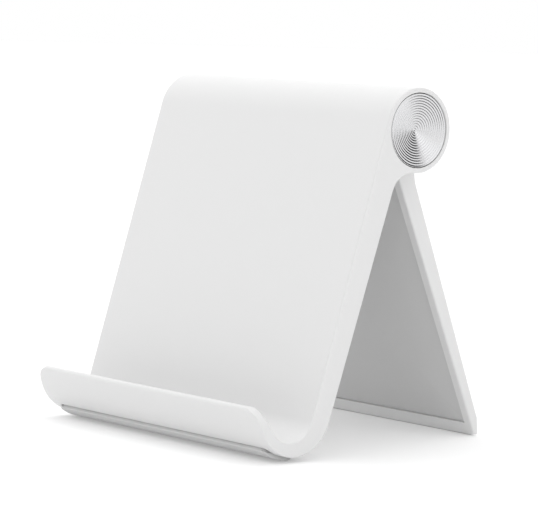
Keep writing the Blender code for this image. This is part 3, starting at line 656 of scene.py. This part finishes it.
def square_loop(centre_x, centre_down, half):
    """Seventeen points round a square, from one corner back to it, four to a side."""
    side = np.linspace(-half, half, 5)
    loop = np.concatenate([
        [(u, -half) for u in side[:-1]], [(half, u) for u in side[:-1]],
        [(u, half) for u in side[:0:-1]], [(-half, u) for u in side[:0:-1]], [(-half, -half)]])
    return loop + np.array([centre_x, centre_down])


cover_half = COVER_HALF - GAP
cover_low, cover_high = COVER_TOP + GAP, COVER_BOTTOM - GAP
screw_x = COVER_HALF - SCREW_INSET
screw_downs = (COVER_TOP + SCREW_INSET, COVER_BOTTOM - SCREW_INSET)
cell, edge = 3.5 * MM, 0.2 * MM
cell_lines = cell * np.array([-1, -0.5, 0, 0.5, 1])
across_lines = np.concatenate([
    [-cover_half + edge], -screw_x + cell_lines, np.linspace(-screw_x + cell, screw_x - cell, 9)[1:-1],
    screw_x + cell_lines, [cover_half - edge]])
down_lines = np.concatenate([
    [cover_low + edge], screw_downs[0] + cell_lines,
    np.linspace(screw_downs[0] + cell, screw_downs[1] - cell, 7)[1:-1],
    screw_downs[1] + cell_lines, [cover_high - edge]])
across_grid, down_grid = np.meshgrid(across_lines, down_lines, indexing="ij")
sheet = np.stack([across_grid, down_grid, np.zeros_like(across_grid)], axis=2)
holes = []
for x in (-screw_x, screw_x):
    for down in screw_downs:
        near = (np.abs(sheet[..., 0] - x) < cell * 0.9) & (np.abs(sheet[..., 1] - down) < cell * 0.9)
        sheet[near] = np.nan
        square = square_loop(x, down, cell)
        way = square - (x, down)
        way = way / np.linalg.norm(way, axis=1, keepdims=True)
        middle_place = np.array([x, down])
        rings = [(square, 0.0)]
        for radius, depth in (
                (SCREW_HEAD + GAP + edge / 2, 0.0), (SCREW_HEAD + GAP, edge / 2), (SCREW_HEAD + GAP, 2 * GAP),
                (SCREW_BODY + GAP, 2 * GAP + SCREW_HEAD - SCREW_BODY), (SCREW_BODY + GAP, COVER_SHEET)):
            rings.append((middle_place + radius * way, depth))
        rings.append((square, COVER_SHEET))
        holes.append(np.stack([
            np.hstack([ring, np.full((len(ring), 1), depth)]) for ring, depth in rings]))
under = sheet.copy()
under[..., 2] = np.where(np.isnan(under[..., 0]), np.nan, COVER_SHEET)
rim = np.vstack([sheet[:, 0], sheet[-1, 1:], sheet[-2::-1, -1], sheet[0, -2::-1]])
outwards = np.sign(rim[:, :2] - np.array([0, (cover_low + cover_high) / 2]))
outwards *= np.stack([
    np.abs(rim[:, 0]) > cover_half - 1.5 * edge,
    np.minimum(rim[:, 1] - cover_low, cover_high - rim[:, 1]) < 1.5 * edge], axis=1)
rim_turns = [(edge * math.sin(t), edge * (1 - math.cos(t))) for t in np.linspace(0, math.pi / 2, 4)]
rim_turns += [(out, COVER_SHEET - depth) for out, depth in reversed(rim_turns)]
wall = np.stack([
    np.hstack([rim[:, :2] + out * outwards, np.full((len(rim), 1), depth)]) for out, depth in rim_turns])
cover_grids = [on_face(grid, back_base, back_down, back_inward) for grid in [sheet, under, wall] + holes]
cover = weld("back_cover_skin", cover_grids, -PLATE_TILT, axis)
finish_edges(cover, 0.08 * MM)
settle(cover, "front", "white_plastic", white_plastic, "back_cover")


# ------------------------------------------------------------------ cover screws
# Four countersunk steel screws with six-lobed sockets, driven into the plate through the cover.

STEEL_TONE = (0.62, 0.62, 0.63, 1.0)
STEEL_ROUGHNESS = 0.32
# turning marks: fine rings round the hinge axis, uneven in depth and in roughness
marks, marks_in, marks_out = new_group(
    "tool_marks",
    [("Point", "NodeSocketVector", None), ("Roughness", "NodeSocketFloat", 0.3),
     ("Mark Scale", "NodeSocketFloat", 9000.0), ("Mark Height", "NodeSocketFloat", 0.000003)],
    [("Roughness", "NodeSocketFloat"), ("Normal", "NodeSocketVector")])
from_axis = add_node(marks, "ShaderNodeVectorMath", [(1, (0.0, axis[1], axis[2]))], [
    (0, marks_in.outputs["Point"])], operation="SUBTRACT")
axis_parts = add_node(marks, "ShaderNodeSeparateXYZ", (), [("Vector", from_axis.outputs["Vector"])])
flat_place = add_node(marks, "ShaderNodeCombineXYZ", [("X", 0.0)], [
    ("Y", axis_parts.outputs["Y"]), ("Z", axis_parts.outputs["Z"])])
ring_radius = add_node(
    marks, "ShaderNodeVectorMath", (), [(0, flat_place.outputs["Vector"])], operation="LENGTH")
mark_place = add_node(marks, "ShaderNodeCombineXYZ", [("Z", 0.0)], [
    ("X", ring_radius.outputs["Value"]), ("Y", axis_parts.outputs["X"])])
mark_noise = add_node(marks, "ShaderNodeTexNoise", [("Detail", 3.0)], [
    ("Vector", mark_place.outputs["Vector"]), ("Scale", marks_in.outputs["Mark Scale"])])
mark_bump = add_node(marks, "ShaderNodeBump", [("Strength", 1.0)], [
    ("Height", mark_noise.outputs["Fac"]), ("Distance", marks_in.outputs["Mark Height"])])
mark_swing = add_node(
    marks, "ShaderNodeMapRange", noise_span + [("To Min", -0.05), ("To Max", 0.05)],
    [("Value", mark_noise.outputs["Fac"])])
mark_rough = add_node(marks, "ShaderNodeMath", (), [
    (0, marks_in.outputs["Roughness"]), (1, mark_swing.outputs["Result"])], operation="ADD")
marks.links.new(mark_rough.outputs["Value"], marks_out.inputs["Roughness"])
marks.links.new(mark_bump.outputs["Normal"], marks_out.inputs["Normal"])

steel = new_material(
    "steel_finish", marks, {"Roughness": STEEL_ROUGHNESS}, {"Base Color": STEEL_TONE, "Metallic": 1.0})
screw_top = GAP / 2
socket_angles = np.linspace(0, 2 * math.pi, 49)
lobes = 0.62 + 0.1 * np.cos(6 * socket_angles)
# rings from the bottom of the socket, over the head and down to the point: how far each follows
# the lobed outline, its plain radius and its depth, in mm
screw_rings = [
    (0, 0, 0.75), (0, 0.6, 0.75), (0.55, 0, 0.62), (1, 0, 0.55), (1, 0, 0.06), (1.1, 0, 0), (0, 1.52, 0),
    (0, 1.6, 0.06), (0, 1.6, 0.15), (0, 0.8, 0.95), (0, 0.8, 4.2), (0, 0.45, 4.45), (0, 0, 4.45)]
for number, (x, down) in enumerate(
        [(x, down) for x in (-screw_x, screw_x) for down in screw_downs], 1):
    rings = []
    for lobed, plain, depth in screw_rings:
        radius = (lobed * lobes + plain) * MM
        rings.append(np.stack([
            x + radius * np.cos(socket_angles), down + radius * np.sin(socket_angles),
            np.full_like(socket_angles, screw_top + depth * MM)], axis=1))
    grid = on_face(np.stack(rings), back_base, back_down, back_inward)
    screw = weld(f"cover_screw_{number}_skin", [grid], -PLATE_TILT, axis, 30)
    settle(screw, "front", "steel", steel, f"cover_screw_{number}")


# ------------------------------------------------------------------ front foot
# A soft grey-white silicone strip pressed into a groove round the underside of the hook.
# Its sole is flat, so the stand sits on it, and it rises round the front where it shows.

FOOT_PROUD = 0.75 * MM
FOOT_DROP = 1.2 * MM
FOOT_EASE = 0.13
FOOT_LIP = 0.35 * MM
FOOT_EDGE = 0.6 * MM
SILICONE_TONE = 0.6
SILICONE_ROUGHNESS = 0.7
silicone = new_material("silicone_finish", grain, {
    "Tone": (SILICONE_TONE, SILICONE_TONE, SILICONE_TONE, 1.0), "Roughness": SILICONE_ROUGHNESS,
    "Grain Scale": 3000.0}, {"IOR": 1.41})
rest_hook = np.array([
    hook_centre[0] * math.cos(PLATE_TILT) + hook_centre[1] * math.sin(PLATE_TILT),
    -hook_centre[0] * math.sin(PLATE_TILT) + hook_centre[1] * math.cos(PLATE_TILT)])
swell = np.concatenate([FOOT_EASE * corner_shares, np.linspace(FOOT_EASE, 1, 11)[1:]])
front_angles = FOOT_FRONT + (-90 - FOOT_FRONT) * swell
front_radii = HOOK + FOOT_PROUD + (FOOT_DROP - FOOT_PROUD) * swell
front_radii[:4] -= FOOT_LIP * np.array([1.0, 0.45, 0.16, 0.05])
front_line = rest_hook + front_radii[:, None] * np.stack(
    [np.cos(np.radians(front_angles)), np.sin(np.radians(front_angles))], axis=1)
sole_z = rest_hook[1] - HOOK - FOOT_DROP + 0.001 * MM
sole_y = rest_hook[0] + np.concatenate([
    np.linspace(0, FOOT_REAR - FOOT_CORNER, 5)[1:], FOOT_REAR - FOOT_CORNER * np.array([0.7, 0.4])])
heel = [(rest_hook[0] + FOOT_REAR - FOOT_EDGE * (1 - math.sin(t)), sole_z + FOOT_EDGE * (1 - math.cos(t)))
        for t in np.linspace(0, math.pi / 2, 5)]
outer_line = np.vstack([front_line, np.stack([sole_y[:-1], np.full(len(sole_y) - 1, sole_z)], axis=1), heel])
seat_radius = HOOK - FOOT_SEAT + GAP
inner_angles = np.linspace(FOOT_FRONT, -math.degrees(math.acos(FOOT_REAR / HOOK)), len(outer_line))
inner_line = rest_hook + seat_radius * np.stack(
    [np.cos(np.radians(inner_angles)), np.sin(np.radians(inner_angles))], axis=1)


def closed_rows(points):
    """Outline rows with mitred inward directions from a closed anticlockwise loop of points."""
    points = np.asarray(points, float)
    along = np.roll(points, -1, axis=0) - points
    along /= np.linalg.norm(along, axis=1, keepdims=True)
    normal = np.stack([-along[:, 1], along[:, 0]], axis=1)
    before = np.roll(normal, 1, axis=0)
    mitre = (normal + before) / (1 + np.sum(normal * before, axis=1, keepdims=True))
    rows = np.hstack([points, mitre])
    return np.vstack([rows, rows[:1]])


def strip_between(name, outer, inner, columns, tilt, insets=0.0):
    """A long strip: one line out, the other back, closed at each end by ruled faces."""
    rows = closed_rows(np.vstack([outer, inner[::-1]]))
    reach = np.abs(columns["x"])
    shift = np.outer(insets, reach / reach.max()) if np.ndim(insets) else 0.0
    body = lay(rows, columns, (), shift)
    caps = []
    for side in (0, -1):
        edge_line = body[:, side]
        there, back_again = edge_line[:len(outer)], edge_line[len(outer):2 * len(outer)][::-1]
        caps.append(np.stack([there, back_again], axis=1))
    return weld(name, [body] + caps, tilt, axis)


foot_columns = make_columns(FOOT_HALF - GAP, np.array([0, 8, 16, 24, 32, 37]) * MM, 0.3 * MM)
travel = np.concatenate([[0], np.cumsum(np.linalg.norm(np.diff(outer_line, axis=0), axis=1))])
outer_inset = np.maximum(
    corner_inset(travel, FOOT_CORNER), corner_inset(travel[-1] - travel, FOOT_REAR_CORNER))
strip_insets = np.concatenate([outer_inset, outer_inset[::-1], outer_inset[:1]])
foot = strip_between("front_foot_skin", outer_line, inner_line, foot_columns, 0.0, strip_insets)
finish_edges(foot, 0.15 * MM, 60)
settle(foot, "front", "silicone", silicone, "front_foot_strip")


# ------------------------------------------------------------------ end discs
# Thin aluminium discs, turned with close rings and dished, glued into the ends of the barrel.
# They hide the hinge hardware; the gap round each one is the barrel's own seat.

DISC_RADIUS = DISC_SEAT - 0.18 * MM
DISC_EDGE = 0.12 * MM
DISC_SHEET = 0.8 * MM
DISC_DISH = 1.5 * MM
DISC_SINK = 0.2 * MM
RING_PITCH = 0.585 * MM
RING_DEPTH = 0.075 * MM
RING_BORDER = 0.15 * MM
RING_STEPS = 12
ALUMINIUM_TONE = (0.66, 0.66, 0.67, 1.0)
ALUMINIUM_ROUGHNESS = 0.2

aluminium = new_material("aluminium_finish", marks, {
    "Roughness": ALUMINIUM_ROUGHNESS, "Mark Scale": 14000.0, "Mark Height": 0.000002}, {
    "Base Color": ALUMINIUM_TONE, "Metallic": 1.0})


def disc_bowl(radius):
    """Depth of the pressed dish, which deepens towards the middle from a level rim."""
    return DISC_DISH * np.clip(1 - radius / DISC_RADIUS, 0, 1) ** 1.35


def disc_face(radius):
    """Depth of the disc's face: the dish, cut with rings of even pitch inside a plain border."""
    phase = (DISC_RADIUS - RING_BORDER - radius) / RING_PITCH
    inside = (phase > 0) & (radius > RING_PITCH * 0.5)
    return disc_bowl(radius) + np.where(inside, RING_DEPTH * np.abs(np.sin(math.pi * phase)) ** 1.5, 0.0)


ring_radii = np.concatenate([
    [DISC_RADIUS - DISC_EDGE], np.arange(DISC_RADIUS - RING_BORDER, 0, -RING_PITCH / RING_STEPS), [0.0]])
front_path = np.stack([HALF_WIDTH - DISC_SINK - disc_face(ring_radii), ring_radii], axis=1)
rim_angles = np.linspace(0, math.pi / 2, 5)
rim_path = np.stack([
    HALF_WIDTH - DISC_SINK - DISC_EDGE * (1 - np.sin(rim_angles)[::-1]),
    DISC_RADIUS - DISC_EDGE * (1 - np.cos(rim_angles)[::-1])], axis=1)
back_radii = np.linspace(DISC_RADIUS - DISC_EDGE / 2, 0, 12)
back_path = np.stack([
    HALF_WIDTH - DISC_SINK - disc_bowl(back_radii) - DISC_SHEET, back_radii], axis=1)
disc_path = np.vstack([front_path[::-1], rim_path[1:], back_path])
spin = np.linspace(0, 360, 193)
for side, name in ((1, "right"), (-1, "left")):
    grid = turned_grid(disc_path, spin) * np.array([side, 1, 1])
    disc = weld(f"end_disc_{name}_skin", [grid], 0.0, axis, 60)
    settle(disc, "front", "aluminium", aluminium, f"end_disc_{name}")


# ------------------------------------------------------------------ swing leg
# The second white moulding: a thin tapering plate with a knuckle that turns inside the barrel.
# Its top follows the barrel, its rear face flares there, and its foot edge is sloped off.

LEG_TILT = math.radians(22.3)
LEG_HALF = HALF_WIDTH - 9.2 * MM
KNUCKLE_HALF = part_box("knuckle_sleeve")[1][0]
LEG_REAR = 2.73 * MM
LEG_FRONT = 2.45 * MM
LEG_TAPER = math.radians(1.93)
LEG_CHAMFER = 3.9 * MM
LEG_EDGE = 1.3 * MM
LEG_FLARE = 10.0 * MM
FLARE_BLUNT = 12.0
SADDLE = 10.4 * MM
KNUCKLE = 8.1 * MM
SLEEVE_HOLE = 4.0 * MM
PANEL_TOP = 13.5 * MM
PANEL_RIM = 2.3 * MM
PANEL_DEPTH = 1.3 * MM
PANEL_FOOT = 3.1 * MM
PANEL_TOP_STEPS, PANEL_STEPS = 8, 10
LEG_SPACING = 7.0 * MM
STRIP_INSET = 2.0 * MM
KNUCKLE_RANK, PANEL_RANK, POCKET_RANK = 4, 5, 7
STRIP_LENGTH = 2.8 * MM
STRIP_DEPTH = 0.7 * MM

leg_way = np.array([math.sin(LEG_TAPER), -math.cos(LEG_TAPER)])
leg_inward = np.array([math.cos(LEG_TAPER), math.sin(LEG_TAPER)])
leg_base = -LEG_FRONT * leg_inward
floor_way = np.array([math.cos(LEG_TILT), -math.sin(LEG_TILT)])
floor_up = np.array([math.sin(LEG_TILT), math.cos(LEG_TILT)])
edge_drop = axis[2] - GAP
front_corner_reach = (-edge_drop - leg_base @ floor_up) / (leg_way @ floor_up)
front_corner = leg_base + front_corner_reach * leg_way
rear_corner = front_corner + LEG_EDGE * floor_way
chamfer_top = np.array([LEG_REAR, rear_corner[1] + LEG_CHAMFER])
chamfer_way = (chamfer_top - rear_corner) / np.linalg.norm(chamfer_top - rear_corner)
chamfer_out = np.array([chamfer_way[1], -chamfer_way[0]])
pocket_depth = STRIP_DEPTH + GAP
pocket_mouth = rear_corner - pocket_depth / (floor_way @ chamfer_out) * floor_way

flare_out = SADDLE + LEG_FLARE
flare_centre = np.array([LEG_REAR + LEG_FLARE, -math.sqrt(flare_out ** 2 - (LEG_REAR + LEG_FLARE) ** 2)])
flare_stop = math.degrees(math.atan2(-flare_centre[1], -flare_centre[0])) + FLARE_BLUNT
flare_end = polar(flare_centre, LEG_FLARE, flare_stop)
saddle_start = math.degrees(math.atan2(flare_end[1], flare_end[0]))
saddle_rear = -math.degrees(math.acos(LEG_REAR / SADDLE))
saddle_point = leg_base + math.sqrt(SADDLE ** 2 - LEG_FRONT ** 2) * leg_way
saddle_stop = math.degrees(math.atan2(saddle_point[1], saddle_point[0]))

panel_end = -front_corner[1] / math.cos(LEG_TAPER) - PANEL_FOOT
front_corner_down = (front_corner - leg_base) @ leg_way
saddle_down = math.sqrt(SADDLE ** 2 - LEG_FRONT ** 2)
downs = np.concatenate([
    steps_between(saddle_down, PANEL_TOP, PANEL_TOP_STEPS), steps_between(PANEL_TOP, panel_end, PANEL_STEPS),
    steps_between(panel_end, front_corner_down, 4)])
front_shares = (downs - saddle_down) / (front_corner_down - saddle_down)
floor_shares = np.append(
    steps_between(0, 1 - np.linalg.norm(pocket_mouth - rear_corner) / LEG_EDGE, 11), 1.0)
chamfer_length = np.linalg.norm(chamfer_top - rear_corner)
pocket_share = (STRIP_LENGTH + GAP) / chamfer_length
chamfer_shares = np.concatenate([steps_between(0, pocket_share, 3), [pocket_share, 1.0]])
front_run = line_run(saddle_point, front_corner, front_shares)
floor_run = line_run(front_corner, rear_corner, floor_shares)
chamfer_run = line_run(rear_corner, chamfer_top, chamfer_shares)
rear_run = line_run(chamfer_top, (LEG_REAR, flare_centre[1]), steps_between(0, 1, 12))
flare_run = arc_run(flare_centre, LEG_FLARE, steps_between(180, flare_stop, 6))
blunt_run = line_run(flare_end, polar((0, 0), SADDLE, saddle_start), np.array([0, 1]))
saddle_run = arc_run((0, 0), SADDLE, np.concatenate([
    steps_between(saddle_start, saddle_rear, 2), steps_between(saddle_rear, saddle_stop, 10)[1:]]))
leg_loop = join_runs(
    front_run, floor_run, chamfer_run, rear_run, flare_run, blunt_run, saddle_run, front_run[:2])
leg_loop[0] = leg_loop[-2]
leg_loop = leg_loop[:-1]
saddle_from = len(leg_loop) - len(saddle_run)
plate_rows = leg_loop[:saddle_from + 1]
saddle_rows = leg_loop[saddle_from:]

# towards each end the rows under the foot edge spread evenly from the front corner's mitre
low_row = len(front_run) + len(floor_run) - 2
corner_row = len(front_run) - 1
corner_pull = plate_rows[corner_row, 2:] - plate_rows[corner_row + 1, 2:]
plate_rows[corner_row + 1:low_row, 2:] += np.outer(np.linspace(1, 0, low_row - corner_row)[1:], corner_pull)

recess = np.zeros(len(plate_rows))
recess[PANEL_TOP_STEPS + 1:PANEL_TOP_STEPS + PANEL_STEPS + 2] = PANEL_DEPTH
recess_move = recess[:, None] * leg_inward
pocket_move = np.zeros((len(plate_rows), 2))
pocket_move[low_row] = pocket_mouth - rear_corner
pocket_move[low_row + 1:low_row + 4] = -pocket_depth * chamfer_out
leg_columns = make_columns(LEG_HALF, np.concatenate([
    LEG_SPACING * np.arange(KNUCKLE_RANK), [KNUCKLE_HALF, LEG_HALF - PANEL_RIM, LEG_HALF - PANEL_RIM],
    [LEG_HALF - STRIP_INSET + GAP, LEG_HALF - STRIP_INSET + GAP]]), EDGE_ROUND)
leg_rank = np.abs(np.arange(len(leg_columns["x"])) - len(leg_columns["x"]) // 2)
plate_skin = lay(plate_rows, leg_columns, [
    (recess_move, leg_rank <= PANEL_RANK), (pocket_move, leg_rank <= POCKET_RANK)])
saddle_skins = [lay(saddle_rows, some(leg_columns, chosen)) for chosen in (
    (leg_columns["x"] > KNUCKLE_HALF - 1e-6), (leg_columns["x"] < -KNUCKLE_HALF + 1e-6))]

neck_rear = saddle_rows[2, :2]
knuckle_rear = np.array([LEG_REAR, -math.sqrt(KNUCKLE ** 2 - LEG_REAR ** 2)])
knuckle_front = leg_base + math.sqrt(KNUCKLE ** 2 - LEG_FRONT ** 2) * leg_way
knuckle_run = arc_run((0, 0), KNUCKLE, np.linspace(
    math.degrees(math.atan2(knuckle_rear[1], knuckle_rear[0])),
    math.degrees(math.atan2(knuckle_front[1], knuckle_front[0])) + 360, 57))
neck_run = np.vstack([
    saddle_rows[:2], line_run(neck_rear, knuckle_rear, np.array([0, 0.5, 1]))[:-1], knuckle_run,
    line_run(knuckle_front, saddle_point, np.array([0, 0.5, 1]))[1:]])
neck_skin = lay(neck_run, some(leg_columns, leg_rank <= KNUCKLE_RANK))
knuckle_loop = np.vstack([saddle_rows[:1:-1, :2], neck_run[3:, :2]])
knuckle_angles = np.degrees(np.arctan2(knuckle_loop[:, 1], knuckle_loop[:, 0]))
hole_loop = arc_run((0, 0), SLEEVE_HOLE, knuckle_angles)[:, :2]
side_faces = []
for side in (KNUCKLE_HALF, -KNUCKLE_HALF):
    side_faces.append(np.stack([
        np.hstack([np.full((len(line), 1), side), line]) for line in (knuckle_loop, hole_loop)], axis=1))
leg_caps = []
for side in (0, -1):
    cap_front = plate_skin[:len(front_run), side]
    cap_rear = plate_skin[low_row:, side][::-1]
    first_row = saddle_skins[1 if side == 0 else 0][::-1, side]
    last_row = plate_skin[corner_row:low_row + 1, side]
    leg_caps.append(side_cap(cap_front, cap_rear, first_row, PANEL_TOP_STEPS, last_row))
sleeve_bore = turned_grid([(KNUCKLE_HALF, SLEEVE_HOLE), (-KNUCKLE_HALF, SLEEVE_HOLE)], knuckle_angles)
leg_grids = [plate_skin, neck_skin, sleeve_bore] + saddle_skins + side_faces + leg_caps
leg = weld("leg_shell_skin", leg_grids, LEG_TILT, axis)
finish_edges(leg, 0.1 * MM)
settle(leg, "leg", "white_plastic", white_plastic, "leg_shell")


# ------------------------------------------------------------------ leg panel
# A thin textured sheet set into the inner face of the leg, a little below its rim. Its grey is painted shade:
# darker than the white plastic, to stand for the shade inside the leg.

PANEL_EDGE = 0.15 * MM
PANEL_GAP = 0.06 * MM
PANEL_CORNER = 0.3 * MM
PANEL_SHEET = 0.6 * MM
PANEL_SINK = 0.4 * MM
# painted shade: the panel's grey tone is darker than the white plastic, to stand for the shade between the
# leg and the plate
PAINTED_SHADE_TONE = 0.59
INNER_ROUGHNESS = 0.55

inner_plastic = new_material("inner_plastic_finish", grain, {
    "Tone": (PAINTED_SHADE_TONE, PAINTED_SHADE_TONE, PAINTED_SHADE_TONE, 1.0), "Roughness": INNER_ROUGHNESS,
    "Grain Scale": 2500.0, "Grain Height": 0.00001}, {"IOR": 1.46})


def rounded_ring(half_x, low, high, corner, inset):
    """Closed ring of a round-cornered rectangle, drawn in by an inset, six steps to a corner."""
    ring = []
    for sign_x, down, start in ((1, high, 0), (-1, high, 90), (-1, low, 180), (1, low, 270)):
        centre = (sign_x * (half_x - corner), down - corner if down == high else down + corner)
        ring += [polar(centre, corner - inset, start + 15 * step) for step in range(7)]
    return np.array(ring + ring[:1])


panel_half = LEG_HALF - PANEL_RIM - PANEL_GAP
panel_low, panel_high = PANEL_TOP + PANEL_GAP, panel_end - PANEL_GAP
edge_turns = [(PANEL_EDGE * (1 - math.sin(t)), PANEL_EDGE * (1 - math.cos(t)))
              for t in np.linspace(0, math.pi / 2, 4)]
panel_loops = [
    (rounded_ring(panel_half, panel_low, panel_high, PANEL_CORNER, inset), depth)
    for inset, depth in edge_turns + [(0.0, PANEL_SHEET)]]
middle_loop = np.tile([0.0, (panel_low + panel_high) / 2], (len(panel_loops[0][0]), 1))
panel_loops = [(middle_loop, 0.0)] + panel_loops + [(middle_loop, PANEL_SHEET)]
panel_rings = np.stack([
    np.hstack([loop, np.full((len(loop), 1), depth + PANEL_SINK)]) for loop, depth in panel_loops])
panel = weld("leg_panel_skin", [on_face(panel_rings, leg_base, leg_way, leg_inward)], LEG_TILT, axis, 60)
settle(panel, "leg", "inner_plastic", inner_plastic, "leg_panel")


# ------------------------------------------------------------------ rear foot
# A narrow silicone strip let into the sloped edge of the leg, standing just proud of it.

resting_drop = -axis[2]
strip_inner_low = rear_corner - STRIP_DEPTH * chamfer_out
strip_outer_low = rear_corner + GAP / 2 * chamfer_out


def down_to_floor(point):
    """Drops a point of the upright leg straight down to the floor as the leg rests."""
    resting_y = point[0] * math.cos(LEG_TILT) - point[1] * math.sin(LEG_TILT)
    return np.array([
        resting_y * math.cos(LEG_TILT) + resting_drop * math.sin(LEG_TILT),
        -resting_y * math.sin(LEG_TILT) + resting_drop * math.cos(LEG_TILT)])


strip_top = rear_corner + STRIP_LENGTH * chamfer_way
outer_strip = np.array([down_to_floor(strip_outer_low), strip_top + GAP / 2 * chamfer_out])
inner_strip = np.array([down_to_floor(strip_inner_low), strip_top - STRIP_DEPTH * chamfer_out])
rear_columns = make_columns(LEG_HALF - STRIP_INSET, np.array([0, 10, 20, 30]) * MM, 0.15 * MM, 3)
rear_foot = strip_between("leg_foot_skin", outer_strip, inner_strip, rear_columns, LEG_TILT)
finish_edges(rear_foot, 0.1 * MM)
settle(rear_foot, "leg", "silicone", silicone, "leg_foot_strip")


# ------------------------------------------------------------------ hinge hardware
# The steel shaft with its washers, disc springs and lock nut, the brass bushes and keyed washer,
# and the plastic friction discs and disc carriers are the CAD's own solids, given their finishes.

brass = new_material(
    "brass_finish", marks, {"Roughness": 0.3}, {"Base Color": (0.80, 0.62, 0.33, 1.0), "Metallic": 1.0})
for material, nodes in (
        (steel, ("hinge_shaft", "head_washer", "plain_washer", "lock_nut",
                 "spring_washer_inner", "spring_washer_outer", "knuckle_sleeve")),
        (brass, ("key_washer", "bush_left", "bush_right")),
        # the friction discs and carriers take the leg panel's grey, which is painted shade
        (inner_plastic, ("friction_disc_left", "friction_disc_right",
                         "disc_carrier_left", "disc_carrier_right"))):
    for node in nodes:
        for material_slot in frame["nodes"][node].material_slots:
            material_slot.material = material
